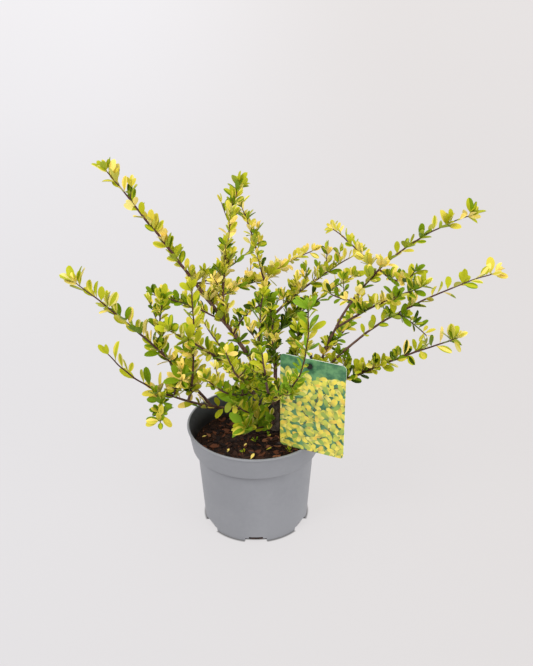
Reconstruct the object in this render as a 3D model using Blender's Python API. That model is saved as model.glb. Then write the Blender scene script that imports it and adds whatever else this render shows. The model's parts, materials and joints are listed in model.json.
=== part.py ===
"""A golden gem Japanese holly in a grey nursery pot, with a hanging plant label.

The origin is on the surface under the middle of the pot, +Z is up and -Y is the side the plant is
seen from. Every bough is a tapering limb, and every mass of leaves goes on from a bough as one stem
with side twigs and leaves, inside the space that is nearer to that stem than to any other.
"""

import math
import random
from collections import namedtuple

import bmesh
import bpy
import numpy as np
from mathutils import Matrix, Vector

MM = 0.001
GAP = 0.3 * MM
UP = Vector((0, 0, 1))

# The pot: a 17 cm nursery pot with a deep collar
POT_HEIGHT = 135.3 * MM
POT_RIM_RADIUS = 85 * MM
POT_BASE_RADIUS = 66 * MM
POT_WALL = 1.6 * MM
POT_FLOOR = 2.2 * MM
POT_SEGMENTS = 36
COLLAR_FOOT_HEIGHT = 106 * MM
COLLAR_FOOT_RADIUS = 79.3 * MM
BODY_TOP_HEIGHT = 99 * MM
BODY_TOP_RADIUS = 72.8 * MM
FOOT_BEVEL = 1.6 * MM
CORNER_BEVEL = 1.4 * MM
SHOULDER_RISE = 2.6 * MM
LIP_HEIGHT = 2.4 * MM
LIP_REACH = 0.9 * MM
LIP_BEVEL = 0.4 * MM
DRAIN_SLOTS = 6
DRAIN_WIDTH = 24 * MM
DRAIN_HEIGHT = 3.6 * MM
DRAIN_DEPTH = 6 * MM

# The compost, which fills the pot to a little under the collar's foot
SOIL_TOP = 105.8 * MM
SOIL_EDGE = (0.8 * MM, 0.4 * MM)

# The trunk, from its flat cut on the compost to its fork
TRUNK_FOOT = Vector((24, 30, 106.1)) * MM
TRUNK_FORK = Vector((26, 33, 156)) * MM
TRUNK_FLARE = 8.5 * MM
TRUNK_RADIUS = 4.6 * MM
TRUNK_FORK_RADIUS = 3.6 * MM

# The label: a card on a black stick, square to the floor and turned towards the left
CARD_WIDTH = 80 * MM
CARD_HEIGHT = 123 * MM
CARD_THICK = 0.8 * MM
CARD_CORNER = 5 * MM
CARD_FOOT = Vector((66.6, -71.7, 139)) * MM
CARD_TURN = math.radians(-24.4)
PEG_DROP = 9 * MM
PEG_OFFSET = -3.5 * MM
PEG_RADIUS = 2 * MM
PEG_HEAD_RADIUS = 3.4 * MM
PEG_HEAD_THICK = 1.6 * MM
STICK_RADIUS = 1.6 * MM
STICK_DEPTH = 24 * MM
STICK_LEAN = Vector((-15, 32, 0)) * MM
STICK_OVER_CARD = 6 * MM

# Leaves and twigs
LEAF_LENGTH = 26 * MM
LEAF_WIDTH = 13 * MM
LEAF_THICK = 1.3 * MM
LEAF_WIDEST = 0.56
LEAF_SUNK = 0.2 * MM
LEAF_STEP = 12.5 * MM
LEAF_TURN = math.radians(137.5)
LEAF_SPREAD = math.radians(52)
LEAF_LIFT = 0.25
LEAF_TRIES = 4
TUFT_STEP = 3 * MM
TUFT_TURN = math.radians(120)
TUFT_SPREAD = math.radians(28)
TWIG_EVERY = 4
TWIG_LENGTH = 22 * MM
TWIG_RADIUS = 0.9 * MM
TIP_RADIUS = 0.6 * MM
LEAF_CLEAR = 1.0 * MM
SPACE_MARGIN = 0.6 * MM
PATH_STEPS = 12
SHORT_SHARE = 0.01
TAPER = 0.8
FLARE_POWER = 6
CARD_ROOM = 3 * MM

# One row a limb. Its root is on its parent, at a share of the parent's length. Heading turns from
# +X towards +Y, bend is added to it by the tip, and rise is the angle over the floor at the root and
# at the tip, all in degrees. Length and foot radius are in millimetres. Bare is the share of the
# length that is a bough of its own, and 0 where the mass meets its parent directly.
Limb = namedtuple("Limb", "name parent at heading bend rise tip_rise length radius bare")
LIMBS = (
    Limb("tall_left", "trunk", 1.00, 153, 16, 51, 52, 346, 3.1, 0.54),
    Limb("low_left", "trunk", 0.50, -173, 43, 5, 58, 263, 2.5, 0.64),
    Limb("long_left", "low_left", 0.33, -171, -5, 57, 42, 231, 1.9, 0.40),
    Limb("left_riser", "low_left", 0.46, -76, 3, 44, 98, 195, 1.6, 0.36),
    Limb("front_left", "trunk", 0.88, -121, -12, 45, 40, 252, 2.4, 0.36),
    Limb("thin_left", "tall_left", 0.33, -178, 2, 32, 17, 95, 1.2, 0),
    Limb("left_twig", "long_left", 0.38, -51, -24, 106, 43, 90, 1.2, 0),
    Limb("tall_mid_left", "tall_left", 0.33, 70, 9, 95, 29, 185, 1.7, 0.30),
    Limb("arching", "tall_left", 0.42, 59, -26, -2, -2, 115, 1.3, 0),
    Limb("left_fork", "tall_left", 0.50, 73, -35, -22, 29, 145, 1.4, 0),
    Limb("inner", "tall_left", 0.27, -72, 14, 50, 31, 135, 1.4, 0),
    Limb("tall_mid", "trunk", 0.97, 90, 30, 56, 44, 256, 2.5, 0.60),
    Limb("mid_right_top", "tall_mid", 0.58, 67, -30, 4, 4, 110, 1.3, 0),
    Limb("mid_right", "tall_mid", 0.39, 26, -7, 38, 20, 145, 1.7, 0.30),
    Limb("back_right", "tall_mid", 0.29, 55, -11, 12, 6, 173, 1.4, 0),
    Limb("back_mid", "tall_mid", 0.21, 95, 0, -17, 8, 190, 1.6, 0.30),
    Limb("back_left", "trunk", 0.62, 126, 0, 7, 32, 210, 2.0, 0.34),
    Limb("front", "trunk", 0.80, -94, 0, 27, 52, 310, 2.4, 0.46),
    Limb("front_riser", "front", 0.25, -129, -3, 61, 105, 150, 1.4, 0),
    Limb("front_mid", "front_left", 0.30, -97, 0, 24, 49, 225, 1.7, 0.30),
    Limb("front_low_left", "front_left", 0.16, -110, -1, 17, 46, 200, 1.7, 0.30),
    Limb("front_foot", "trunk", 0.20, -121, 0, 10, 35, 75, 1.3, 0),
    Limb("front_right", "front", 0.42, -60, 1, 27, 97, 170, 1.5, 0),
    Limb("low_right", "trunk", 0.46, -20, -22, 38, 34, 283, 2.9, 0.38),
    Limb("great_right", "low_right", 0.21, 38, -42, 77, 20, 306, 2.3, 0.60),
    Limb("right_fork", "great_right", 0.57, 114, 2, 20, 0, 111, 1.3, 0),
    Limb("right_low_fork", "great_right", 0.59, -59, -17, -16, 56, 89, 1.2, 0),
    Limb("right_mid", "great_right", 0.30, -43, -1, 43, 32, 149, 1.6, 0.28),
    Limb("back_far", "great_right", 0.21, 72, 0, -19, 6, 185, 1.6, 0.30),
    Limb("long_right", "low_right", 0.21, -35, 63, 70, 2, 294, 2.1, 0.56),
    Limb("right_drop", "long_right", 0.53, -10, -2, -28, -44, 47, 1.0, 0),
    Limb("low_left_drop", "low_left", 0.62, -85, 0, -15, 6, 60, 1.1, 0),
    Limb("left_cluster", "low_left", 0.54, -77, 3, 56, 28, 90, 1.3, 0),
    Limb("front_spray", "trunk", 0.35, -124, 0, 23, 48, 110, 1.4, 0),
    Limb("right_inner", "great_right", 0.43, 117, 2, -22, -1, 62, 1.1, 0),
    Limb("core_right", "trunk", 0.72, -49, 0, 58, 85, 125, 1.5, 0),
)


def material(name, colour, roughness):
    made = bpy.data.materials.new(name)
    made.use_nodes = True
    shader = made.node_tree.nodes["Principled BSDF"]
    shader.inputs["Base Color"].default_value = (*colour, 1)
    shader.inputs["Roughness"].default_value = roughness
    shader.inputs["Metallic"].default_value = 0
    return made


def add_object(name, bm, look=None):
    """One object from a bmesh, with its normals facing out."""
    bmesh.ops.recalc_face_normals(bm, faces=bm.faces)
    mesh = bpy.data.meshes.new(name)
    bm.to_mesh(mesh)
    bm.free()
    made = bpy.data.objects.new(name, mesh)
    bpy.context.scene.collection.objects.link(made)
    if look:
        made.data.materials.append(look)
    return made


def smooth(made, angle=40):
    made.data.shade_smooth()
    made.data.set_sharp_from_angle(angle=math.radians(angle))


def apply_boolean(made, operation, others):
    """One Boolean on a collection of the other objects, which are then removed."""
    gathered = bpy.data.collections.new(made.name + "_parts")
    bpy.context.scene.collection.children.link(gathered)
    for other in others:
        gathered.objects.link(other)
        other.hide_render = True
        other.display_type = "WIRE"
    modifier = made.modifiers.new(operation.lower(), "BOOLEAN")
    modifier.operation = operation
    modifier.operand_type = "COLLECTION"
    modifier.collection = gathered
    modifier.solver = "EXACT"
    bpy.context.view_layer.objects.active = made
    bpy.ops.object.modifier_apply(modifier=modifier.name)
    for other in others:
        bpy.data.objects.remove(other, do_unlink=True)
    bpy.data.collections.remove(gathered)


def keep_main_body(made):
    """Drops every loose scrap, and fills every sealed hollow by dropping its wall."""
    bm = bmesh.new()
    bm.from_mesh(made.data)
    unseen = set(bm.faces)
    bodies = []
    while unseen:
        body = {unseen.pop()}
        edge_of_body = list(body)
        while edge_of_body:
            face = edge_of_body.pop()
            near = {other for edge in face.edges for other in edge.link_faces} & unseen
            unseen -= near
            body |= near
            edge_of_body.extend(near)
        bodies.append(body)
    bodies.sort(key=len)
    loose = [vert for body in bodies[:-1] for face in body for vert in face.verts]
    bmesh.ops.delete(bm, geom=list(set(loose)), context="VERTS")
    bm.to_mesh(made.data)
    bm.free()


def turned(name, outline, look):
    """A solid of revolution round Z from (radius, height) points that start and end on the axis."""
    bm = bmesh.new()
    points = [bm.verts.new((radius, 0, height)) for radius, height in outline]
    edges = [bm.edges.new(pair) for pair in zip(points, points[1:])]
    bmesh.ops.spin(
        bm,
        geom=points + edges,
        axis=UP,
        cent=(0, 0, 0),
        angle=math.tau,
        steps=POT_SEGMENTS,
        use_merge=True,
    )
    bmesh.ops.remove_doubles(bm, verts=bm.verts, dist=0.001 * MM)
    made = add_object(name, bm, look)
    smooth(made)
    return made


def wall_outline(offset):
    """The pot's outside from foot to collar, moved inwards: (radius, height) points."""
    return [
        (POT_BASE_RADIUS - FOOT_BEVEL - offset, 0),
        (POT_BASE_RADIUS - offset, FOOT_BEVEL),
        (BODY_TOP_RADIUS - offset, BODY_TOP_HEIGHT),
        (BODY_TOP_RADIUS + CORNER_BEVEL - offset, BODY_TOP_HEIGHT + SHOULDER_RISE),
        (COLLAR_FOOT_RADIUS - CORNER_BEVEL - offset, COLLAR_FOOT_HEIGHT - SHOULDER_RISE),
        (COLLAR_FOOT_RADIUS - offset, COLLAR_FOOT_HEIGHT),
    ]


def make_pot(look):
    under_lip = POT_HEIGHT - LIP_HEIGHT
    inside = wall_outline(POT_WALL)[2:]
    outline = [(0, 0)] + wall_outline(0)
    outline += [
        (POT_RIM_RADIUS - LIP_REACH, under_lip),
        (POT_RIM_RADIUS, under_lip + LIP_BEVEL),
        (POT_RIM_RADIUS, POT_HEIGHT - LIP_BEVEL),
        (POT_RIM_RADIUS - LIP_BEVEL, POT_HEIGHT),
        (POT_RIM_RADIUS - LIP_REACH - POT_WALL, POT_HEIGHT),
    ]
    outline += inside[::-1]
    outline += [(POT_BASE_RADIUS - POT_WALL, POT_FLOOR), (0, POT_FLOOR)]
    pot = turned("pot", outline, look)
    cutters = []
    for slot in range(DRAIN_SLOTS):
        angle = math.tau * (slot / DRAIN_SLOTS - 0.25)
        bm = bmesh.new()
        bmesh.ops.create_cube(bm, size=1)
        bmesh.ops.scale(bm, vec=(2 * DRAIN_DEPTH, DRAIN_WIDTH, 2 * DRAIN_HEIGHT), verts=bm.verts)
        bmesh.ops.translate(bm, vec=(POT_BASE_RADIUS, 0, 0), verts=bm.verts)
        bmesh.ops.rotate(bm, cent=(0, 0, 0), matrix=Matrix.Rotation(angle, 3, "Z"), verts=bm.verts)
        cutters.append(add_object(f"drain_slot_{slot}", bm))
    apply_boolean(pot, "DIFFERENCE", cutters)
    smooth(pot)


def make_soil(look, stick_points):
    side = wall_outline(POT_WALL + GAP)[2:-1]
    foot = (POT_BASE_RADIUS - POT_WALL - GAP, POT_FLOOR + GAP)
    bevel, clear = SOIL_EDGE
    top_radius = COLLAR_FOOT_RADIUS - POT_WALL - GAP - clear
    outline = [(0, foot[1]), foot] + side
    outline += [(top_radius, SOIL_TOP - bevel), (top_radius - bevel, SOIL_TOP), (0, SOIL_TOP)]
    soil = turned("soil", outline, look)
    down = (stick_points[0] - stick_points[1]).normalized()
    hole_points = [stick_points[0] + down * GAP, stick_points[1]]
    hole = tube("stick_hole", hole_points, [STICK_RADIUS + GAP] * 2, 10)
    apply_boolean(soil, "DIFFERENCE", [hole])
    smooth(soil)


def frames(points):
    """A matrix at each point, with Z along the path and no twist between neighbours."""
    made = []
    side = None
    for index, point in enumerate(points):
        ahead = points[min(index + 1, len(points) - 1)]
        behind = points[max(index - 1, 0)]
        along = (ahead - behind).normalized()
        if side is None:
            side = along.orthogonal()
        side = (side - along * side.dot(along)).normalized()
        turn = Matrix((side, along.cross(side), along)).transposed().to_4x4()
        made.append(Matrix.Translation(point) @ turn)
    return made


def tube(name, points, radii, sides, look=None, flat_foot=False):
    """A limb of round rings along a path, extruded ring by ring and closed at both ends."""
    placed = frames(points)
    if flat_foot:
        placed[0] = Matrix.Translation(points[0])
    bm = bmesh.new()
    last = placed[0] @ Matrix.Scale(radii[0], 4)
    bmesh.ops.create_circle(bm, cap_ends=True, radius=1, segments=sides, matrix=last)
    cap = bm.faces[:] + bm.edges[:]
    for here, radius in zip(placed[1:], radii[1:]):
        grown = bmesh.ops.extrude_face_region(bm, geom=cap)["geom"]
        ring = [item for item in grown if isinstance(item, bmesh.types.BMVert)]
        cap = [item for item in grown if not isinstance(item, bmesh.types.BMVert)]
        placement = here @ Matrix.Scale(radius, 4)
        bmesh.ops.transform(bm, matrix=placement @ last.inverted(), verts=ring)
        last = placement
    return add_object(name, bm, look)


def limb_path(root, limb):
    """Points from the root to the tip, turning evenly from the first direction to the last."""
    points = [root]
    for step in range(PATH_STEPS):
        share = (step + 0.5) / PATH_STEPS
        heading = math.radians(limb.heading + limb.bend * share)
        rise = math.radians(limb.rise + (limb.tip_rise - limb.rise) * share)
        level = math.cos(rise)
        direction = Vector((level * math.cos(heading), level * math.sin(heading), math.sin(rise)))
        points.append(points[-1] + direction * (limb.length * MM / PATH_STEPS))
    return points


def point_at(points, share):
    place = min(max(share, 0), 1) * (len(points) - 1)
    index = min(int(place), len(points) - 2)
    return points[index].lerp(points[index + 1], place - index)


def stretch(points, start, end, count):
    return [point_at(points, start + (end - start) * step / (count - 1)) for step in range(count)]


def spans(points, radii):
    """The path as arrays of its segments' ends and radii."""
    line = np.array(points)
    size = np.array(radii)
    return line[:-1], line[1:], size[:-1], size[1:]


def axis_distance(places, path, to_surface=True):
    """The distance from each place to the nearest point of a path, or to its round surface."""
    start, end, foot, tip = path
    side = end - start
    away = places[:, None, :] - start[None]
    share = np.clip((away * side).sum(-1) / (side * side).sum(-1), 0, 1)
    far = np.linalg.norm(away - share[..., None] * side, axis=-1)
    if to_surface:
        far = far - foot - share * (tip - foot)
    return far.min(axis=1)


def rim(points, share, radius, count=12):
    """Places round the limb's edge at a share of its path."""
    here = point_at(points, share)
    along = (point_at(points, share + SHORT_SHARE) - here).normalized()
    side = along.orthogonal().normalized() * radius
    other = along.cross(side)
    turns = [math.tau * step / count for step in range(count)]
    return np.array([here + side * math.cos(turn) + other * math.sin(turn) for turn in turns])


def clear_start(points, radius, tubes):
    """The first share of a path where a limb's edge clears every limb that is there already."""
    share = 0
    while min(axis_distance(rim(points, share, radius), path).min() for path in tubes.values()) < GAP:
        share += SHORT_SHARE / 10
    return share


class Plant:
    """The trunk, boughs and leafy stems that are there so far, as paths that new growth keeps clear of."""

    def __init__(self):
        self.paths = {}
        self.tubes = {}
        self.stems = {}

    def fits(self, places, name):
        """True where every place is in the mass's own space and clear of other limbs, pot and card."""
        own = axis_distance(places, self.stems[name], to_surface=False)
        for other, path in self.stems.items():
            if other != name and (axis_distance(places, path, to_surface=False) < own + SPACE_MARGIN).any():
                return False
        for other, path in self.tubes.items():
            if other != name and axis_distance(places, path).min() < LEAF_CLEAR:
                return False
        return clear_of_pot(places) and clear_of_card(places)


def clear_of_pot(places):
    level = np.hypot(places[:, 0], places[:, 1])
    low = places[:, 2] < POT_HEIGHT + LEAF_CLEAR
    by_wall = level > POT_RIM_RADIUS - 10 * MM
    in_soil = places[:, 2] < SOIL_TOP + LEAF_CLEAR
    return not (low & (by_wall & (level < POT_RIM_RADIUS + LEAF_CLEAR) | in_soil)).any()


def card_frame():
    """The card's own axes: X along its foot, Y towards its back, Z up, from the middle of its foot."""
    return Matrix.Translation(CARD_FOOT) @ Matrix.Rotation(CARD_TURN, 4, "Z")


def clear_of_card(places):
    inward = np.array(card_frame().inverted())
    own = places @ inward[:3, :3].T + inward[:3, 3]
    room = CARD_ROOM
    beside = np.abs(own[:, 0]) > CARD_WIDTH / 2 + room
    above = own[:, 2] > CARD_HEIGHT + STICK_OVER_CARD + room
    in_front = own[:, 1] < -room - PEG_HEAD_THICK
    behind = own[:, 1] > 2 * room
    return bool((beside | above | in_front | behind | (own[:, 2] < -room)).all())


def leaf_solid():
    """The leaf that every placed leaf shares: eight faces round its root, tip, edges and middle."""
    bm = bmesh.new()
    widest = LEAF_WIDEST * LEAF_LENGTH
    half_width = LEAF_WIDTH / 2
    half_thick = LEAF_THICK / 2
    corners = [(0, 0, 0), (LEAF_LENGTH, 0, 0)]
    corners += [(widest, side * half_width, 0) for side in (-1, 1)]
    corners += [(widest, 0, side * half_thick) for side in (-1, 1)]
    verts = [bm.verts.new(corner) for corner in corners]
    bmesh.ops.convex_hull(bm, input=verts)
    bmesh.ops.recalc_face_normals(bm, faces=bm.faces)
    mesh = bpy.data.meshes.new("leaf")
    bm.to_mesh(mesh)
    bm.free()
    return mesh


def side_of(along, roll):
    """The direction square to a twig at a roll round it, where no roll is level."""
    level = along.cross(UP) if abs(along.z) < 0.95 else along.cross(Vector((1, 0, 0)))
    return Matrix.Rotation(roll, 3, along) @ level.normalized()


def leaf_matrix(root, along, roll, spread, size):
    """A leaf that leans off its twig by the spread, lifts towards the light and shows its face to it."""
    side = side_of(along, roll)
    aim = (along * math.cos(spread) + side * math.sin(spread) + UP * LEAF_LIFT).normalized()
    face = along * 0.8 + UP * 0.9 - side * 0.4
    face = (face - aim * face.dot(aim)).normalized()
    turn = Matrix((aim, face.cross(aim), face)).transposed().to_4x4()
    return Matrix.Translation(root - aim * LEAF_SUNK) @ turn @ Matrix.Scale(size, 4)


def leaf_places(matrix):
    """Places round the leaf's edge that must fit."""
    outline = [(0.3, 0.0), (0.35, 0.3), (0.35, -0.3), (LEAF_WIDEST, 0.5), (LEAF_WIDEST, -0.5)]
    outline += [(0.8, 0.25), (0.8, -0.25), (1.0, 0.0)]
    return np.array([matrix @ Vector((x * LEAF_LENGTH, y * LEAF_WIDTH, 0)) for x, y in outline])


class Mass:
    """One mass of leaves while it grows: the twigs and leaves to fuse to its stem."""

    def __init__(self, plant, name, leaf):
        self.plant = plant
        self.name = name
        self.leaf = leaf
        self.pick = random.Random(name)
        self.parts = []
        self.leaves = 0

    def add_leaf(self, root, along, roll, spread=LEAF_SPREAD):
        """Tries the leaf at a few turns and sizes, and skips it where none fits."""
        for tries in range(LEAF_TRIES):
            lean = spread * self.pick.uniform(0.8, 1.15)
            scale = self.pick.uniform(0.86, 1.1) * (1 - 0.08 * tries)
            matrix = leaf_matrix(root, along, roll + tries * 0.5, lean, scale)
            if self.plant.fits(leaf_places(matrix), self.name):
                made = bpy.data.objects.new(f"{self.name}_leaf", self.leaf)
                made.matrix_world = matrix
                bpy.context.scene.collection.objects.link(made)
                self.parts.append(made)
                self.leaves += 1
                return

    def dress(self, points, first, twigs):
        """Leaves by turns along a path, a side twig at every few of them, and a tuft at the tip."""
        length = sum((b - a).length for a, b in zip(points, points[1:]))
        roll = self.pick.uniform(0, math.tau)
        here = first
        count = 0
        while here < length - 0.3 * LEAF_STEP:
            root = point_at(points, here / length)
            ahead = point_at(points, here / length + SHORT_SHARE)
            behind = point_at(points, here / length - SHORT_SHARE)
            along = (ahead - behind).normalized()
            roll += LEAF_TURN
            if twigs and count % TWIG_EVERY == 1 and length - here > 1.5 * LEAF_STEP:
                reach = min(TWIG_LENGTH, 0.75 * (length - here) + 0.2 * TWIG_LENGTH)
                self.add_twig(root, along, roll, reach)
            else:
                self.add_leaf(root, along, roll)
            here += LEAF_STEP * self.pick.uniform(0.85, 1.15)
            count += 1
        tip = points[-1]
        along = (points[-1] - points[-2]).normalized()
        for turn in range(3 if twigs else 2):
            root = tip - along * (2 * MM + turn * TUFT_STEP)
            self.add_leaf(root, along, roll + turn * TUFT_TURN, TUFT_SPREAD)

    def add_twig(self, root, along, roll, reach):
        aim = (along * 0.75 + side_of(along, roll) * 0.65 + UP * 0.15).normalized()
        for share in (1, 0.7, 0.45):
            end = root + aim * reach * share
            points = [root, end]
            places = np.array(stretch(points, 0.25, 1, 6))
            if self.plant.fits(places, self.name):
                self.parts.append(tube(f"{self.name}_twig", points, [TWIG_RADIUS, TIP_RADIUS], 3))
                self.dress(points, 0.8 * LEAF_STEP, twigs=False)
                return


def limb_radius(limb, share):
    """Thick at the foot, and down to the twigs' radius at the tip."""
    foot = limb.radius * MM
    return TIP_RADIUS + (foot - TIP_RADIUS) * max(1 - share, 0) ** TAPER


def make_trunk(plant, look):
    """Up from a flat cut with a root flare, leaning a little back, to the fork."""
    count = 9
    points = []
    radii = []
    for step in range(count):
        share = step / (count - 1)
        place = TRUNK_FOOT.lerp(TRUNK_FORK, share)
        place.x += 1.5 * MM * math.sin(math.pi * share)
        points.append(place)
        flare = (TRUNK_FLARE - TRUNK_RADIUS) * (1 - share) ** FLARE_POWER
        radii.append(TRUNK_RADIUS + (TRUNK_FORK_RADIUS - TRUNK_RADIUS) * share + flare)
    smooth(tube("trunk", points, radii, 12, look, flat_foot=True), 60)
    plant.paths["trunk"] = points
    plant.tubes["trunk"] = spans(points, radii)


def make_limbs(plant, bark, leaf_look):
    """Every bough first, and then every mass, whose leaves keep clear of all of them."""
    leafy = []
    for limb in LIMBS:
        points = limb_path(point_at(plant.paths[limb.parent], limb.at), limb)
        plant.paths[limb.name] = points
        start = clear_start(points, limb_radius(limb, 0), plant.tubes)
        if limb.bare:
            count = 7
            bough = stretch(points, start, limb.bare, count)
            radii = [limb_radius(limb, start + (limb.bare - start) * i / (count - 1)) for i in range(count)]
            smooth(tube(f"bough_{limb.name}", bough, radii, 6, bark), 60)
            plant.tubes[f"bough_{limb.name}"] = spans(bough, radii)
            start = limb.bare + GAP / (limb.length * MM)
        count = 6
        stem = stretch(points, start, 1, count)
        radii = [limb_radius(limb, start + (1 - start) * i / (count - 1)) for i in range(count)]
        name = f"leaves_{limb.name}"
        plant.tubes[name] = spans(stem, radii)
        plant.stems[name] = spans(stem, radii)
        leafy.append((limb, name, stem, radii))
    leaf = leaf_solid()
    total = 0
    for limb, name, stem, radii in leafy:
        made = tube(name, stem, radii, 4, leaf_look)
        mass = Mass(plant, name, leaf)
        bare = 0.6 * LEAF_STEP if limb.bare else 0.25 * limb.length * MM
        mass.dress(stem, bare, twigs=limb.length > 100)
        apply_boolean(made, "UNION", mass.parts)
        keep_main_body(made)
        total += mass.leaves
    print(f"{total} leaves in {len(leafy)} masses")


def stick_path():
    """From its foot in the compost, leaning out, and upright behind the card."""
    behind = CARD_THICK / 2 + GAP + STICK_RADIUS
    card = card_frame()
    top = card @ Vector((PEG_OFFSET, behind, CARD_HEIGHT + STICK_OVER_CARD))
    knee = card @ Vector((PEG_OFFSET, behind, CARD_HEIGHT - 3 * PEG_DROP))
    foot = Vector((knee.x, knee.y, SOIL_TOP - STICK_DEPTH)) + STICK_LEAN
    return stretch([foot, knee], 0, 1, 5)[:-1] + stretch([knee, top], 0, 1, 3)


def make_card(look):
    """A thin card with rounded corners and a hole for the peg."""
    bm = bmesh.new()
    bmesh.ops.create_cube(bm, size=1)
    bmesh.ops.scale(bm, vec=(CARD_WIDTH, CARD_THICK, CARD_HEIGHT), verts=bm.verts)
    corners = [edge for edge in bm.edges if abs(edge.verts[0].co.y - edge.verts[1].co.y) > CARD_THICK / 2]
    bmesh.ops.bevel(bm, geom=corners, offset=CARD_CORNER, segments=4, profile=0.5, affect="EDGES")
    middle = Matrix.Translation((0, 0, CARD_HEIGHT / 2))
    bmesh.ops.transform(bm, matrix=card_frame() @ middle, verts=bm.verts)
    card = add_object("label_card", bm, look)
    ends = [Vector((PEG_OFFSET, side * 5 * MM, CARD_HEIGHT - PEG_DROP)) for side in (-1, 1)]
    hole = tube("peg_hole", [card_frame() @ end for end in ends], [PEG_RADIUS + GAP] * 2, 16)
    apply_boolean(card, "DIFFERENCE", [hole])


def make_stick(look, points):
    """The black stick, with the peg through the card and the head that keeps it on."""
    stick = tube("label_stick", points, [STICK_RADIUS] * len(points), 10, look)
    height = CARD_HEIGHT - PEG_DROP
    back = CARD_THICK / 2 + GAP + STICK_RADIUS
    front = -CARD_THICK / 2 - GAP
    face = front - PEG_HEAD_THICK
    peg = [Vector((PEG_OFFSET, depth, height)) for depth in (back, (front + face) / 2)]
    head = [Vector((PEG_OFFSET, depth, height)) for depth in (front, face)]
    card = card_frame()
    added = [
        tube("peg", [card @ place for place in peg], [PEG_RADIUS] * 2, 10),
        tube("peg_head", [card @ place for place in head], [PEG_HEAD_RADIUS] * 2, 12),
    ]
    apply_boolean(stick, "UNION", added)
    smooth(stick)


def main():
    for item in list(bpy.data.objects):
        bpy.data.objects.remove(item, do_unlink=True)
    grey = material("pot_grey", (0.29, 0.3, 0.32), 0.55)
    compost = material("compost", (0.045, 0.019, 0.01), 0.95)
    bark = material("bark", (0.1, 0.055, 0.035), 0.8)
    lime = material("leaf_lime", (0.3, 0.42, 0.05), 0.45)
    printed = material("card_print", (0.4, 0.5, 0.12), 0.35)
    black = material("stick_black", (0.012, 0.012, 0.013), 0.5)
    stick = stick_path()
    make_pot(grey)
    make_soil(compost, stick)
    make_stick(black, stick)
    make_card(printed)
    plant = Plant()
    make_trunk(plant, bark)
    make_limbs(plant, bark, lime)


main()
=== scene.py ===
import json
import math
import random
from collections import namedtuple

import bpy
import numpy as np
from mathutils import Matrix, Vector, noise

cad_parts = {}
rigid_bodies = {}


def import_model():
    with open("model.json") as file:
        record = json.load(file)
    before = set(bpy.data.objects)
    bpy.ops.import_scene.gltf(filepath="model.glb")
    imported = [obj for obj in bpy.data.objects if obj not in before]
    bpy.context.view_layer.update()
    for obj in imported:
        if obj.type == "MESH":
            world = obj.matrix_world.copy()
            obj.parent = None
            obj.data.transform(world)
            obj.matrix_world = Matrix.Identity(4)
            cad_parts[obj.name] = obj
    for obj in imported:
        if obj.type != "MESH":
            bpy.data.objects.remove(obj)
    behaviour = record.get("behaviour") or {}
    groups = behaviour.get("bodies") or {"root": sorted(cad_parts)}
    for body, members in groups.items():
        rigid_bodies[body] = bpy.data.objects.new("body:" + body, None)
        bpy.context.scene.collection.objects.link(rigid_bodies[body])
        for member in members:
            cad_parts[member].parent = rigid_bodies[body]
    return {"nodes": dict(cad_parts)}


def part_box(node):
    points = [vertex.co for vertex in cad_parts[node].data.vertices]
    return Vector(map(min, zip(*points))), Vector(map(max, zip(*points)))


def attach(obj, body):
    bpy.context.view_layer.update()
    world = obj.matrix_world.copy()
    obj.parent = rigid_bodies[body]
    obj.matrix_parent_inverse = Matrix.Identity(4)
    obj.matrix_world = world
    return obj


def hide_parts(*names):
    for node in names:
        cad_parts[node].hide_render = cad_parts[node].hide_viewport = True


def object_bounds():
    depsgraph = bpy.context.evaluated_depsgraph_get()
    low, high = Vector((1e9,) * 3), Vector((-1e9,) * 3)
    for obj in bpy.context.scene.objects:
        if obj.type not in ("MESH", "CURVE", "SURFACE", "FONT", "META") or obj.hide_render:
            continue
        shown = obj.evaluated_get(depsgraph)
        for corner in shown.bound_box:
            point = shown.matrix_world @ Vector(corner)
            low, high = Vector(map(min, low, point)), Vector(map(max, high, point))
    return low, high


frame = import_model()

cadLow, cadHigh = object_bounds()
mm = 0.001
up = Vector((0, 0, 1))
sideways = Vector((1, 0, 0))
noise.seed_set(2)  # so that the wood gets the same crooks each run


# Shader maths: a Wire is one socket, and maths on it adds Math nodes
class Wire:
    def __init__(self, finish, socket):
        self.finish = finish
        self.socket = socket

    def maths(self, operation, first, second):
        return self.finish.maths(operation, first, second)

    def __add__(self, other):
        return self.maths("ADD", self, other)

    def __radd__(self, other):
        return self.maths("ADD", other, self)

    def __sub__(self, other):
        return self.maths("SUBTRACT", self, other)

    def __rsub__(self, other):
        return self.maths("SUBTRACT", other, self)

    def __mul__(self, other):
        return self.maths("MULTIPLY", self, other)

    def __rmul__(self, other):
        return self.maths("MULTIPLY", other, self)

    def __truediv__(self, other):
        return self.maths("DIVIDE", self, other)


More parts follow.
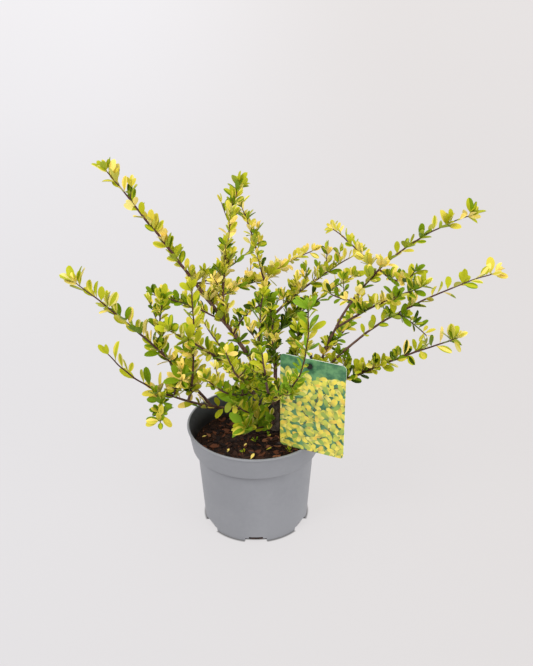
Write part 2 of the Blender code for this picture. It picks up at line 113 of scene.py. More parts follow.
# One material, with its Principled sockets by name and any other node from node()
class Finish:
    def __init__(self, name, sockets):
        self.material = bpy.data.materials.new(name)
        self.material.use_nodes = True
        self.tree = self.material.node_tree
        self.shader = self.tree.nodes["Principled BSDF"]
        for socket, value in sockets.items():
            self.set(socket, value)

    def set(self, socket, value):
        self.feed(self.shader.inputs[socket], value)

    def feed(self, socket, value):
        if isinstance(value, Wire):
            self.tree.links.new(value.socket, socket)
        elif socket.type == "RGBA":
            socket.default_value = (*value, 1)
        else:
            socket.default_value = value

    def node(self, kind, settings, inputs, output=0):
        made = self.tree.nodes.new("ShaderNode" + kind)
        for name, value in settings.items():
            setattr(made, name, value)
        for name, value in inputs.items():
            self.feed(made.inputs[name], value)
        return Wire(self, made.outputs[output])

    def place(self):
        return self.node("TexCoord", {}, {}, "Object")

    def noise(self, size, detail=3, roughness=0.5, at=None):
        sockets = {"Scale": 1 / size, "Detail": detail, "Roughness": roughness}
        return self.node("TexNoise", {}, {"Vector": at or self.place(), **sockets})

    # Of the Mix node's sockets, 6 and 7 take its colours and output 2 gives one
    def mix(self, factor, first, second):
        sockets = {0: factor, 6: first, 7: second}
        return self.node("Mix", {"data_type": "RGBA", "clamp_factor": True}, sockets, 2)

    def maths(self, operation, *values):
        return self.node("Math", {"operation": operation}, dict(enumerate(values)))

    def axis(self, vector, index):
        return self.node("SeparateXYZ", {}, {"Vector": vector}, index)

    def move(self, vector, by, operation="ADD"):
        return self.node("VectorMath", {"operation": operation}, {0: vector, 1: by})

    def step(self, value, low, high):
        sockets = {"Value": value, "From Min": low, "From Max": high}
        return self.node("MapRange", {"interpolation_type": "SMOOTHSTEP"}, sockets)

    def bump(self, height, strength, distance):
        sockets = {"Height": height, "Strength": strength, "Distance": distance}
        self.set("Normal", self.node("Bump", {}, sockets))


# Helpers for modelling with Blender's own tools
def lookAt(piece, mode="OBJECT"):
    if bpy.context.object and bpy.context.object.mode != "OBJECT":
        bpy.ops.object.mode_set(mode="OBJECT")
    bpy.ops.object.select_all(action="DESELECT")
    piece.select_set(True)
    bpy.context.view_layer.objects.active = piece
    if mode == "EDIT":
        bpy.ops.object.mode_set(mode="EDIT")


def freshPrimitive(name, add, **sizes):
    bpy.ops.object.select_all(action="DESELECT")
    add(**sizes)
    piece = bpy.context.object
    piece.name = name
    piece.data.name = name
    return piece


def applyModifier(piece, kind, **settings):
    lookAt(piece)
    modifier = piece.modifiers.new(kind.lower(), kind)
    for name, value in settings.items():
        setattr(modifier, name, value)
    bpy.ops.object.modifier_apply(modifier=modifier.name)


# A round wall, raised ring by ring from its foot: (radius, height) from foot to last cap
def lathe(name, profile, sides):
    radius, height = profile[0]
    piece = freshPrimitive(
        name, bpy.ops.mesh.primitive_circle_add, vertices=sides, radius=radius, fill_type="NGON",
        location=(0, 0, height),
    )
    bpy.ops.object.transform_apply(location=True, rotation=True, scale=True)
    lookAt(piece, "EDIT")
    bpy.ops.mesh.select_mode(type="FACE")
    bpy.ops.mesh.select_all(action="SELECT")
    for nextRadius, nextHeight in profile[1:]:
        rise = {"value": (0, 0, nextHeight - height)}
        bpy.ops.mesh.extrude_region_move(TRANSFORM_OT_translate=rise)
        grow = nextRadius / radius
        bpy.ops.transform.resize(value=(grow, grow, 1), center_override=(0, 0, nextHeight))
        radius, height = nextRadius, nextHeight
    bpy.ops.mesh.select_all(action="SELECT")
    bpy.ops.mesh.normals_make_consistent(inside=False)
    bpy.ops.object.mode_set(mode="OBJECT")
    return piece


# In edit mode, with only the edges or faces that pass the test selected
def selectOnly(piece, kind, test):
    lookAt(piece, "EDIT")
    bpy.ops.mesh.select_mode(type=kind)
    bpy.ops.mesh.select_all(action="DESELECT")
    bpy.ops.object.mode_set(mode="OBJECT")
    for part in piece.data.edges if kind == "EDGE" else piece.data.polygons:
        part.select = test(part)
    bpy.ops.object.mode_set(mode="EDIT")


def smoothByAngle(piece, degrees):
    lookAt(piece)
    bpy.ops.object.shade_smooth_by_angle(angle=math.radians(degrees))


def cutWith(piece, cutter):
    applyModifier(piece, "BOOLEAN", operation="DIFFERENCE", object=cutter, solver="EXACT")
    bpy.data.objects.remove(cutter, do_unlink=True)


# Places the piece on the frame's one body, and hides the nodes it stands for
def finishPiece(piece, slot, *nodes):
    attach(piece, "root")
    if nodes:
        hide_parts(*nodes)
    print(f"{piece.name}: {sum(len(f.vertices) - 2 for f in piece.data.polygons)} triangles")


# The pot: a grey nursery pot with a black inside
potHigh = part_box("pot")[1]
potShape = {
    "sides": 144,
    "height": potHigh.z,
    "rimRadius": potHigh.x,
    "baseRadius": 66 * mm,
    "wall": 1.6 * mm,
    "floor": 2.2 * mm,
    "bodyTop": (72.8 * mm, 99 * mm),
    "collarFoot": (79.3 * mm, 106 * mm),
    "lipHeight": 2.6 * mm,
    "lipReach": 1.2 * mm,
    "footRound": 1.6 * mm,
    "ledgeRound": 1.6 * mm,
    "collarRound": 2.6 * mm,
    "lipRound": 0.7 * mm,
    "rimRound": 0.9 * mm,
    "innerRound": 0.4 * mm,
    "innerLedge": 1.4 * mm,
    "middle": 2 * mm,
    "slots": 6,
    "slotSizes": ((17.5 * mm, 7.2 * mm, 9 * mm), (27 * mm, 4.6 * mm, 5 * mm)),  # width, height, depth
}
potColours = {
    "outside": (0.275, 0.282, 0.3),
    "outsideDark": (0.245, 0.252, 0.27),
    "inside": (0.095, 0.102, 0.107),
    # insideShade is painted shade, for the low inside wall and the walls of the slots
    "insideShade": (0.016, 0.016, 0.016),
    "dust": (0.062, 0.058, 0.052),
}


def potFinish():
    finish = Finish("potGrey", {"Specular IOR Level": 0.4})
    cloud = finish.noise(90 * mm, 2)
    scuff = finish.noise(6 * mm, 4, 0.6)
    tone = finish.step(0.75 * cloud + 0.25 * scuff, 0.35, 0.65)
    finish.set("Base Color", finish.mix(tone, potColours["outsideDark"], potColours["outside"]))
    grain = finish.noise(0.5 * mm, 2)
    finish.set("Roughness", 0.42 + 0.16 * grain)
    finish.bump(grain, 0.12, 0.15 * mm)
    return finish.material


def insideFinish():
    finish = Finish("potBlack", {"Specular IOR Level": 0.5})
    dust = finish.step(finish.noise(7 * mm, 4, 0.65), 0.5, 0.75)
    # Painted shade: the black inside goes darker below 108 mm and lighter up to 132 mm, towards the rim,
    # where light reaches in; the dust patches are the pot's own
    daylight = finish.step(finish.axis(finish.place(), 2), 108 * mm, 132 * mm)
    wall = finish.mix(daylight, potColours["insideShade"], potColours["inside"])
    finish.set("Base Color", finish.mix(dust, wall, potColours["dust"]))
    finish.set("Roughness", 0.32 + 0.3 * dust)
    finish.bump(finish.noise(0.8 * mm, 2), 0.15, 0.2 * mm)
    return finish.material


# Points of a rounded edge in the profile, with its angles in degrees
def arc(centre, radius, start, end, count):
    turns = [math.radians(start + (end - start) * i / (count - 1)) for i in range(count)]
    return [(centre[0] + radius * math.cos(a), centre[1] + radius * math.sin(a)) for a in turns]


def makePot():
    s = potShape
    topRadius, topHeight = s["bodyTop"]
    footRadius, footHeight = s["collarFoot"]
    wall, rim, height, base = s["wall"], s["rimRadius"], s["height"], s["baseRadius"]
    foot, ledge, collar, lip = s["footRound"], s["ledgeRound"], s["collarRound"], s["lipRound"]
    top, inner, step = s["rimRound"], s["innerRound"], s["innerLedge"]
    lipFoot = height - s["lipHeight"]
    collarTop = rim - s["lipReach"]
    outside = [(s["middle"], 0), (base - 4 * mm, 0)]
    outside += arc((base - foot, foot), foot, -90, 0, 5)
    outside += [(topRadius, topHeight)]
    outside += arc((topRadius + ledge, topHeight + 0.4 * mm), ledge, 170, 100, 4)
    outside += arc((footRadius - collar, footHeight + 0.2 * mm), collar, -80, 0, 6)
    outside += [(collarTop - 0.2 * mm, lipFoot - 1.2 * mm), (collarTop, lipFoot)]
    outside += arc((rim - lip, lipFoot + lip), lip, -90, 0, 4)
    outside += arc((rim - top, height - top), top, 0, 90, 5)
    outside += arc((rim - s["lipReach"] - wall + inner, height - inner), inner, 90, 180, 3)
    inside = [(footRadius - wall, footHeight), (footRadius - wall - step, footHeight - 3 * mm)]
    inside += [(topRadius - wall + step, topHeight + 2.6 * mm), (topRadius - wall, topHeight)]
    inside += [(base - wall, s["floor"]), (s["middle"], s["floor"])]
    pot = lathe("pot_shell", outside + inside, s["sides"])
    for slot in range(s["slots"]):
        angle = math.tau * (slot / s["slots"] - 0.25)
        at = (base * math.cos(angle), base * math.sin(angle), 0)
        for width, slotHeight, depth in s["slotSizes"]:
            cutter = freshPrimitive(
                "slotCutter", bpy.ops.mesh.primitive_cube_add, size=1, location=at,
                rotation=(0, 0, angle), scale=(2 * depth, width, 2 * slotHeight),
            )
            cutWith(pot, cutter)
    pot.data.materials.append(potFinish())
    pot.data.materials.append(insideFinish())
    # The inside and the floor's top are black; the walls of the slots are black too, as painted shade in
    # the recesses under the foot
    slotTop = s["slotSizes"][0][1]
    for face in pot.data.polygons:
        middle = face.center
        level = math.hypot(middle.x, middle.y)
        within = level < collarTop - 0.6 * wall and middle.z > s["floor"] * 0.9
        pointsIn = face.normal.x * middle.x + face.normal.y * middle.y < -0.2 * level
        outward = level > base - 2 * wall and not pointsIn
        slotWallShade = 0.1 * mm < middle.z < slotTop + 0.1 * mm and not outward
        if slotWallShade or (within and (pointsIn or middle.z < 2 * s["floor"])):
            face.material_index = 1
    smoothByAngle(pot, 38)
    finishPiece(pot, "pot_plastic", "pot")


# The compost: dark crumbs and red-brown bark chips, a little under the collar's foot
soilLow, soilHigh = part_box("soil")
soil = {
    "radius": soilHigh.x - 0.4 * mm,
    "top": soilHigh.z,
    "rings": 26,
    "sides": 110,
    "relief": 3.2 * mm,
    "hollows": (24 * mm, 9 * mm),  # the sizes of its wide and narrow ones
    "wallGap": 2.4 * mm,
    "middle": 1.5 * mm,
    "chips": 400,
    "chipLength": (6 * mm, 20 * mm),
    "chipShares": (0.48, 0.28, 0.15, 0.05, 0.04),
    "crumbs": 1500,
    "crumbSize": (0.8 * mm, 2.6 * mm),
    "crumbShares": (0.5, 0.28, 0.14, 0.05, 0.03),
}
soilColours = {
    "chipDark": (0.014, 0.007, 0.005),
    "chipBrown": (0.045, 0.019, 0.01),
    "chipRed": (0.13, 0.042, 0.017),
    "chipTan": (0.26, 0.105, 0.045),
    "chipGrey": (0.06, 0.048, 0.041),
}
groundColours = ((0.01, 0.006, 0.0045), (0.042, 0.018, 0.01), (0.11, 0.042, 0.02))  # wet, dry, flecks


def soilFinish():
    finish = Finish("compostGround", {"Roughness": 0.95, "Specular IOR Level": 0.2})
    coarse = finish.noise(9 * mm, 5, 0.7)
    fine = finish.noise(1.6 * mm, 4, 0.7)
    wet, dry, fleck = groundColours
    dark = finish.mix(finish.step(coarse, 0.35, 0.7), wet, dry)
    finish.set("Base Color", finish.mix(finish.step(fine, 0.52, 0.72), dark, fleck))
    finish.bump(0.6 * fine + 0.4 * coarse, 0.9, 1.5 * mm)
    return finish.material


def groundHeight(x, y):
    wide, narrow = soil["hollows"]
    hollow = noise.noise(Vector((x, y, 0)) / wide) + 0.5 * noise.noise(Vector((x, y, 0.1)) / narrow)
    edge = min(max((soil["radius"] - math.hypot(x, y)) / (6 * mm), 0), 1)
    return soil["top"] - soil["relief"] * (0.55 - 0.45 * hollow) * (0.3 + 0.7 * edge)


def makeSoil():
    foot, gap, radius, rings = soilLow.z, soil["wallGap"], soil["radius"], soil["rings"]
    profile = [(potShape["middle"], foot), (potShape["baseRadius"] - gap, foot)]
    profile += [(potShape["bodyTop"][0] - gap, potShape["bodyTop"][1])]
    profile += [(radius - 1.5 * mm, potShape["collarFoot"][1] - 3.6 * mm)]
    for ring in range(rings):
        profile += [(radius * (1 - ring / rings) + soil["middle"] * ring / rings, soil["top"])]
    ground = lathe("soil_ground", profile, soil["sides"])
    for vert in ground.data.vertices:
        if vert.co.z > soil["top"] - 0.5 * mm:
            vert.co.z = groundHeight(vert.co.x, vert.co.y)
    ground.data.materials.append(soilFinish())
    smoothByAngle(ground, 60)
    finishPiece(ground, "compost", "soil")


# Many small things are gathered as arrays and joined into one mesh
class Heap:
    def __init__(self):
        self.places = []
        self.faces = []
        self.looks = []
        self.count = 0

    def add(self, places, faces, looks):
        start = self.count
        self.places.append(np.asarray(places, float))
        self.faces.extend([tuple(start + i for i in face) for face in faces])
        self.looks.extend([looks] * len(faces) if isinstance(looks, int) else looks)
        self.count += len(places)

    def piece(self, name, materials, sharp):
        mesh = bpy.data.meshes.new(name)
        mesh.from_pydata(np.concatenate(self.places), [], self.faces)
        for material in materials:
            mesh.materials.append(material)
        mesh.polygons.foreach_set("material_index", self.looks)
        mesh.shade_smooth()
        mesh.set_sharp_from_angle(angle=math.radians(sharp))
        mesh.update()
        made = bpy.data.objects.new(name, mesh)
        bpy.context.scene.collection.objects.link(made)
        return made


def chipFinish(name, colour):
    finish = Finish(name, {"Base Color": colour, "Roughness": 0.85, "Specular IOR Level": 0.25})
    grain = finish.node("Mapping", {}, {"Vector": finish.place(), "Scale": (1, 0.35, 1)})
    finish.bump(finish.noise(1.2 * mm, 4, 0.7, at=grain), 0.7, 0.6 * mm)
    return finish.material


# A broken flake: an uneven outline with a top and an underside
def flake(pick, length, width, thick, corners):
    turns = [math.tau * (i + pick.uniform(-0.25, 0.25)) / corners for i in range(corners)]
    reach = [pick.uniform(0.72, 1) for _ in range(corners)]
    rim = [(0.5 * length * r * math.cos(a), 0.5 * width * r * math.sin(a)) for a, r in zip(turns, reach)]
    top = [(x, y, thick * pick.uniform(0.3, 0.6)) for x, y in rim]
    under = [(0.9 * x, 0.9 * y, -thick * pick.uniform(0.3, 0.6)) for x, y in rim]
    faces = [tuple(range(corners)), tuple(reversed(range(corners, 2 * corners)))]
    faces += [(i, i + corners, (i + 1) % corners + corners, (i + 1) % corners) for i in range(corners)]
    return np.array(top + under), faces


def turned(heading, pitch, roll):
    return Matrix.Rotation(heading, 4, "Z") @ Matrix.Rotation(roll, 4, "X") @ Matrix.Rotation(pitch, 4, "Y")


def placed(places, turn, at):
    return np.asarray(places) @ np.array(turn.to_3x3()).T + np.array(at)


def onGround(pick, inset):
    level = (soil["radius"] - inset) * math.sqrt(pick.random())
    angle = pick.uniform(0, math.tau)
    return level * math.cos(angle), level * math.sin(angle)


def makeChips():
    pick = random.Random("chips")
    heap = Heap()
    kinds = range(len(soilColours))
    shortest, longest = soil["chipLength"]
    for _ in range(soil["chips"]):
        length = pick.triangular(shortest, longest, shortest * 1.3)
        x, y = onGround(pick, 0.5 * length + 1 * mm)
        look = pick.choices(kinds, soil["chipShares"])[0]
        body, faces = flake(pick, length, length * pick.uniform(0.3, 0.6), pick.uniform(0.8, 2) * mm, 9)
        turn = turned(pick.uniform(0, math.tau), pick.uniform(-0.35, 0.35), pick.uniform(-0.5, 0.5))
        height = groundHeight(x, y) + pick.uniform(0.2, 1.2) * mm
        heap.add(placed(body, turn, (x, y, height)), faces, look)
    for _ in range(soil["crumbs"]):
        size = pick.triangular(*soil["crumbSize"], soil["crumbSize"][0])
        x, y = onGround(pick, 1.5 * mm)
        look = pick.choices(kinds, soil["crumbShares"])[0]
        body, faces = flake(pick, size, size * pick.uniform(0.6, 1), size * pick.uniform(0.5, 0.9), 5)
        turn = turned(pick.uniform(0, math.tau), 0, pick.uniform(-1, 1))
        heap.add(placed(body, turn, (x, y, groundHeight(x, y) + 0.4 * size)), faces, look)
    looks = [chipFinish(name, colour) for name, colour in soilColours.items()]
    finishPiece(heap.piece("soil_chips", looks, 30), "compost")


# The label: a glossy printed card on a black stick
card = {
    "width": 80 * mm,
    "height": 123 * mm,
    "thick": 0.8 * mm,
    "corner": 5 * mm,
    "foot": Vector((66.6, -71.7, 139)) * mm,
    "turn": math.radians(-24.4),
    "pegDrop": 9 * mm,
    "pegOffset": -3.5 * mm,
    "pegHole": 2.3 * mm,
    "overCard": 6 * mm,
    "header": 104 * mm,
    "twigTop": 95 * mm,
    "twigCells": 26 * mm,
}
cardColours = {
    "ground": (0.045, 0.15, 0.075),
    "groundLight": (0.14, 0.33, 0.14),
    "leafGreen": (0.3, 0.45, 0.09),
    "leafLime": (0.64, 0.65, 0.09),
    "leafYellow": (0.92, 0.77, 0.1),
    "leafPale": (0.84, 0.78, 0.24),
    "leafGold": (0.85, 0.56, 0.09),
    "twig": (0.09, 0.05, 0.035),
    "edge": (0.8, 0.82, 0.78),
}
# Printed leaves, from the lowest layer up: cell, length, width, and the tints between which they lie
printedLeaves = (
    (12 * mm, 5.6 * mm, 3.0 * mm, "leafGreen", "leafLime"),
    (11 * mm, 5.2 * mm, 2.8 * mm, "leafLime", "leafYellow"),
    (12 * mm, 5.0 * mm, 2.9 * mm, "leafYellow", "leafPale"),
    (13 * mm, 5.6 * mm, 3.1 * mm, "leafLime", "leafYellow"),
    (14 * mm, 5.2 * mm, 2.7 * mm, "leafYellow", "leafGold"),
    (17 * mm, 5.8 * mm, 3.0 * mm, "leafGreen", "leafLime"),
)
cardFrame = Matrix.Translation(card["foot"]) @ Matrix.Rotation(card["turn"], 4, "Z")


# One scatter of printed ovals: where it is 1, how far along its own leaf, and a share for its tint
def ovals(finish, at, size, length, width, seed):
    moved = finish.move(at, (seed, 0, seed))
    sockets = {"Vector": moved, "Scale": 1 / size, "Randomness": 0.6}
    cell = finish.node("TexVoronoi", {"voronoi_dimensions": "2D"}, sockets, "Position")
    tint = Wire(finish, cell.socket.node.outputs["Color"])
    turn = finish.node("SeparateColor", {}, {"Color": tint}, 0) * math.tau
    sockets = {"Vector": finish.move(moved, cell, "SUBTRACT"), "Center": (0, 0, 0), "Angle": turn}
    spun = finish.node("VectorRotate", {"rotation_type": "Z_AXIS"}, sockets)
    x = finish.axis(spun, 0) / length
    y = finish.axis(spun, 1) / width
    inside = finish.step(1 - x * x - y * y * (1.25 - 0.5 * x), 0, 0.12)
    header = finish.step(finish.axis(cell, 1), card["header"] - 0.5 * mm, card["header"])
    return inside * (1 - header), x, finish.node("SeparateColor", {}, {"Color": tint}, 1)


# Thin printed twigs, along the borders of large uneven cells
def printedTwigs(finish, at):
    bent = finish.node("TexNoise", {}, {"Vector": at, "Scale": 1 / (9 * mm), "Detail": 2}, "Color")
    push = finish.node("VectorMath", {"operation": "SCALE"}, {0: bent, "Scale": 5 * mm})
    settings = {"voronoi_dimensions": "2D", "feature": "DISTANCE_TO_EDGE"}
    sockets = {"Vector": finish.move(at, push), "Scale": 1 / card["twigCells"]}
    edge = finish.node("TexVoronoi", settings, sockets)
    header = finish.step(finish.axis(at, 1), card["twigTop"], card["header"])
    return (1 - finish.step(edge, 0.008, 0.024)) * (1 - header)


def printFinish():
    c = cardColours
    finish = Finish("cardPrint", {"Roughness": 0.36, "Specular IOR Level": 0.3, "Coat Weight": 0.08})
    upright = (math.pi / 2, 0, card["turn"])
    sockets = {"Vector": finish.place(), "Location": card["foot"], "Rotation": upright}
    onCard = finish.node("Mapping", {"vector_type": "TEXTURE"}, sockets)
    wash = finish.noise(13 * mm, 4, 0.6, at=onCard)
    colour = finish.mix(finish.step(wash, 0.35, 0.65), c["ground"], c["groundLight"])
    for index, (size, length, width, first, second) in enumerate(printedLeaves):
        shape, along, share = ovals(finish, onCard, size, length, width, 0.31 * (index + 1))
        leaf = finish.mix(share, c[first], c[second])
        shaded = finish.mix(finish.step(along, -1.1, 0.3), finish.mix(0.55, leaf, c["ground"]), leaf)
        colour = finish.mix(shape, colour, shaded)
        if index == 1:
            colour = finish.mix(printedTwigs(finish, onCard), colour, c["twig"])
    finish.set("Base Color", colour)
    return finish.material


def makeCard():
    board = freshPrimitive(
        "label_print", bpy.ops.mesh.primitive_cube_add, size=1, location=(0, 0, card["height"] / 2),
        scale=(card["width"], card["thick"], card["height"]),
    )
    bpy.ops.object.transform_apply(location=True, rotation=True, scale=True)

    def throughCard(edge):
        a, b = (board.data.vertices[i].co for i in edge.vertices)
        return abs(a.y - b.y) > card["thick"] / 2

    selectOnly(board, "EDGE", throughCard)
    bpy.ops.mesh.bevel(offset=card["corner"], segments=8, affect="EDGES")
    bpy.ops.object.mode_set(mode="OBJECT")
    peg = freshPrimitive(
        "pegCutter", bpy.ops.mesh.primitive_cylinder_add, vertices=32, radius=card["pegHole"],
        depth=10 * mm, location=(card["pegOffset"], 0, card["height"] - card["pegDrop"]),
        rotation=(math.pi / 2, 0, 0),
    )
    cutWith(board, peg)
    applyModifier(board, "BEVEL", width=0.12 * mm, segments=2, limit_method="ANGLE")
    board.data.transform(cardFrame)
    edgeFinish = Finish("cardEdge", {"Base Color": cardColours["edge"], "Roughness": 0.5})
    board.data.materials.append(printFinish())
    board.data.materials.append(edgeFinish.material)
    facing = cardFrame.to_3x3() @ Vector((0, 1, 0))
    for face in board.data.polygons:
        if abs(face.normal.dot(facing)) < 0.9:
            face.material_index = 1
    smoothByAngle(board, 30)
    finishPiece(board, "card_print", "label_card")


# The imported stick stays, in a scuffed black
stickColours = ((0.01, 0.01, 0.011), (0.03, 0.03, 0.032))


def makeStick():
    finish = Finish("stickBlack", {"Specular IOR Level": 0.4})
    scuff = finish.step(finish.noise(3 * mm, 4, 0.6), 0.5, 0.8)
    finish.set("Base Color", finish.mix(scuff, *stickColours))
    finish.set("Roughness", 0.38 + 0.25 * scuff)
    finish.bump(finish.noise(0.6 * mm, 2), 0.15, 0.1 * mm)
    stick = frame["nodes"]["label_stick"]
    stick.data.materials.clear()
    stick.data.materials.append(finish.material)
    print("label_stick: the packed solid with its finish")


# The limbs, by the source's rule: root share on the parent, degrees and millimetres, the share that is
# bare, the moods that colour foot, middle and tip, and the size of the leaves
Limb = namedtuple("Limb", "name parent at heading bend rise tipRise length radius bare moods leafSize")
limbs = (
    Limb("tall_left", "trunk", 1.00, 153, 16, 51, 52, 346, 3.1, 0.54, "green mixed olive", 1.08),
    Limb("low_left", "trunk", 0.50, -173, 43, 5, 58, 263, 1.9, 0.64, "gold mixed olive", 1.25),
    Limb("long_left", "low_left", 0.33, -171, -5, 57, 42, 231, 1.9, 0.40, "gold green olive", 1.25),
    Limb("left_riser", "low_left", 0.46, -76, 3, 44, 98, 195, 1.6, 0.36, "green mixed green", 1.0),
    Limb("front_left", "trunk", 0.88, -121, -12, 45, 40, 252, 2.4, 0.36, "core green lime", 1.02),
    Limb("thin_left", "tall_left", 0.33, -178, 2, 32, 17, 95, 1.2, 0, "green green green", 0.9),
    Limb("left_twig", "long_left", 0.42, -51, -24, 106, 43, 90, 1.2, 0, "green green green", 0.95),
    Limb("tall_mid_left", "tall_left", 0.33, 70, 9, 95, 29, 178, 1.7, 0.30, "gold mixed olive", 0.95),
    Limb("arching", "tall_left", 0.42, 59, -26, -2, -2, 115, 1.3, 0, "gold mixed lime", 0.85),
    Limb("left_fork", "tall_left", 0.50, 73, -35, -22, 29, 145, 1.4, 0, "gold mixed lime", 0.9),
    Limb("inner", "tall_left", 0.27, -72, 14, 50, 31, 135, 1.4, 0, "core green mixed", 0.85),
    Limb("tall_mid", "trunk", 0.97, 90, 30, 56, 44, 256, 2.5, 0.60, "core green gold", 0.85),
    Limb("mid_right_top", "tall_mid", 0.58, 67, -30, 4, 4, 110, 1.3, 0, "gold gold lime", 0.85),
    Limb("mid_right", "tall_mid", 0.39, 26, -7, 38, 20, 145, 1.7, 0.30, "green mixed lime", 0.92),
    Limb("back_right", "tall_mid", 0.29, 55, -11, 12, 6, 173, 1.4, 0, "deep green mixed", 0.95),
    Limb("back_mid", "tall_mid", 0.21, 95, 0, -17, 8, 190, 1.6, 0.30, "core green mixed", 0.9),
    Limb("back_left", "trunk", 0.62, 126, 0, 7, 32, 210, 2.0, 0.34, "deep green mixed", 0.9),
    Limb("front", "trunk", 0.80, -94, 0, 27, 52, 310, 2.4, 0.46, "core green green", 0.75),
    Limb("front_riser", "front", 0.25, -129, -3, 61, 105, 150, 1.4, 0, "core core green", 0.9),
    Limb("front_mid", "front_left", 0.30, -97, 0, 24, 49, 225, 1.7, 0.30, "core green mixed", 0.74),
    Limb("front_low_left", "front_left", 0.16, -110, -1, 17, 46, 200, 1.7, 0.30, "core green mixed", 0.8),
    Limb("front_foot", "trunk", 0.20, -121, 0, 10, 35, 75, 1.3, 0, "fresh fresh fresh", 1.15),
    Limb("front_right", "front", 0.42, -60, 1, 27, 97, 170, 1.0, 0, "fresh fresh fresh", 0.95),
    Limb("low_right", "trunk", 0.46, -20, -22, 38, 34, 283, 2.3, 0.38, "core green green", 1.05),
    Limb("great_right", "low_right", 0.21, 38, -42, 77, 20, 306, 1.8, 0.60, "core green olive", 0.95),
    Limb("right_fork", "great_right", 0.57, 114, 2, 20, 0, 111, 1.3, 0, "mixed mixed olive", 0.85),
    Limb("right_low_fork", "great_right", 0.59, -59, -17, -16, 56, 89, 1.2, 0, "mixed mixed green", 0.9),
    Limb("right_mid", "great_right", 0.30, -43, -1, 43, 32, 149, 1.6, 0.28, "green mixed green", 0.95),
    Limb("back_far", "great_right", 0.21, 72, 0, -19, 6, 185, 1.6, 0.30, "deep green mixed", 0.9),
    Limb("long_right", "low_right", 0.21, -35, 63, 70, 2, 294, 1.7, 0.56, "core green olive", 0.98),
    Limb("right_drop", "long_right", 0.56, -10, -2, -28, -44, 42, 1.0, 0, "green green green", 0.85),
    Limb("low_left_drop", "low_left", 0.62, -85, 0, -15, 6, 60, 1.1, 0, "fresh green green", 1.0),
    Limb("left_cluster", "low_left", 0.54, -77, 3, 56, 28, 90, 1.3, 0, "green mixed green", 1.0),
    Limb("front_spray", "trunk", 0.35, -124, 0, 23, 48, 110, 1.4, 0, "fresh fresh fresh", 1.05),
    Limb("right_inner", "great_right", 0.43, 117, 2, -22, -1, 62, 1.1, 0, "core green green", 0.85),
    Limb("core_right", "trunk", 0.72, -49, 0, 58, 85, 125, 1.5, 0, "core core green", 0.85),
)
trunk = {
    "foot": Vector((24, 30, 106.1)) * mm,
    "fork": Vector((26, 33, 156)) * mm,
    "flare": 7.2 * mm,
    "radius": 4.2 * mm,
    "forkRadius": 3.4 * mm,
    "sway": 1.5 * mm,
    "rings": 34,
    "sides": 30,
    "relief": (3.1, 0.45 * mm, 7),  # seed, depth, ridges
}
wood = {
    "tipRadius": 0.6 * mm,
    "pathSteps": 12,
    "ringStep": 2.5 * mm,
    "crook": 1.1 * mm,
    "crookStep": 22 * mm,
    "fullCrook": 150,  # mm: shorter limbs are straighter
    "barkShare": 0.9,
    "leafyBarkShare": 0.02,
    "boughSides": 14,
    "boughRelief": (0.12 * mm, 5),  # depth, ridges
    "shootSides": 8,
    "shootRelief": (0.05 * mm, 4),
}
# Barks, dark and light, with grey flecks, and the two colours of young shoots
barkColours = {
    "barkTrunk": ((0.045, 0.032, 0.024), (0.12, 0.09, 0.066), (0.21, 0.175, 0.135)),
    "barkBoughs": ((0.065, 0.029, 0.022), (0.145, 0.076, 0.052), (0.22, 0.145, 0.105)),
}
shootColours = {"shootPurple": (0.085, 0.034, 0.03), "shootGreen": (0.15, 0.1, 0.03)}


def pointAt(points, share):
    place = min(max(share, 0), 1) * (len(points) - 1)
    index = min(int(place), len(points) - 2)
    return points[index].lerp(points[index + 1], place - index)


def limbPath(root, limb):
    points = [root]
    steps = wood["pathSteps"]
    for step in range(steps):
        share = (step + 0.5) / steps
        heading = math.radians(limb.heading + limb.bend * share)
        rise = math.radians(limb.rise + (limb.tipRise - limb.rise) * share)
        level = math.cos(rise)
        direction = Vector((level * math.cos(heading), level * math.sin(heading), math.sin(rise)))
        points.append(points[-1] + direction * (limb.length * mm / steps))
    return points


# The path in short steps, rounded, with the small crooks of real wood
def crooked(points, seed, amount):
    length = sum((b - a).length for a, b in zip(points, points[1:]))
    count = max(int(length / wood["ringStep"]), 4)
    made = []
    for index in range(count + 1):
        share = index / count
        here = pointAt(points, share)
        place = Vector((share * length / wood["crookStep"], seed, 0))
        made.append(here + noise.noise_vector(place) * amount * min(1, 6 * share))
    for _ in range(3):
        made = [made[0]] + [(a + 2 * b + c) / 4 for a, b, c in zip(made, made[1:], made[2:])] + [made[-1]]
    return made


def limbRadius(limb, share):
    foot = limb.radius * mm
    return wood["tipRadius"] + (foot - wood["tipRadius"]) * max(1 - share, 0) ** 0.8


def ringFrames(points):
    made = []
    side = None
    for index, point in enumerate(points):
        along = (points[min(index + 1, len(points) - 1)] - points[max(index - 1, 0)]).normalized()
        if side is None:
            side = along.orthogonal()
        side = (side - along * side.dot(along)).normalized()
        made.append((point, side, along.cross(side)))
    return made


# A round limb as rings with a point at each end. Relief adds to the radius by ring and turn
def addLimb(heap, points, radii, sides, relief=None):
    places = [points[0]]
    for index, (here, side, other) in enumerate(ringFrames(points)):
        for corner in range(sides):
            turn = math.tau * corner / sides
            radius = radii[index] + (relief(index, turn, radii[index]) if relief else 0)
            places.append(here + (side * math.cos(turn) + other * math.sin(turn)) * radius)
    ahead = (points[-1] - points[-2]).normalized()
    places.append(points[-1] + ahead * radii[-1] * 0.6)
    last = len(places) - 1
    faces = [(0, 1 + (i + 1) % sides, 1 + i) for i in range(sides)]
    for ring in range(len(points) - 1):
        low = 1 + ring * sides
        high = low + sides
        faces += [(low + i, low + (i + 1) % sides, high + (i + 1) % sides, high + i) for i in range(sides)]
    low = 1 + (len(points) - 1) * sides
    faces += [(low + i, low + (i + 1) % sides, last) for i in range(sides)]
    heap.add([tuple(p) for p in places], faces, 0)


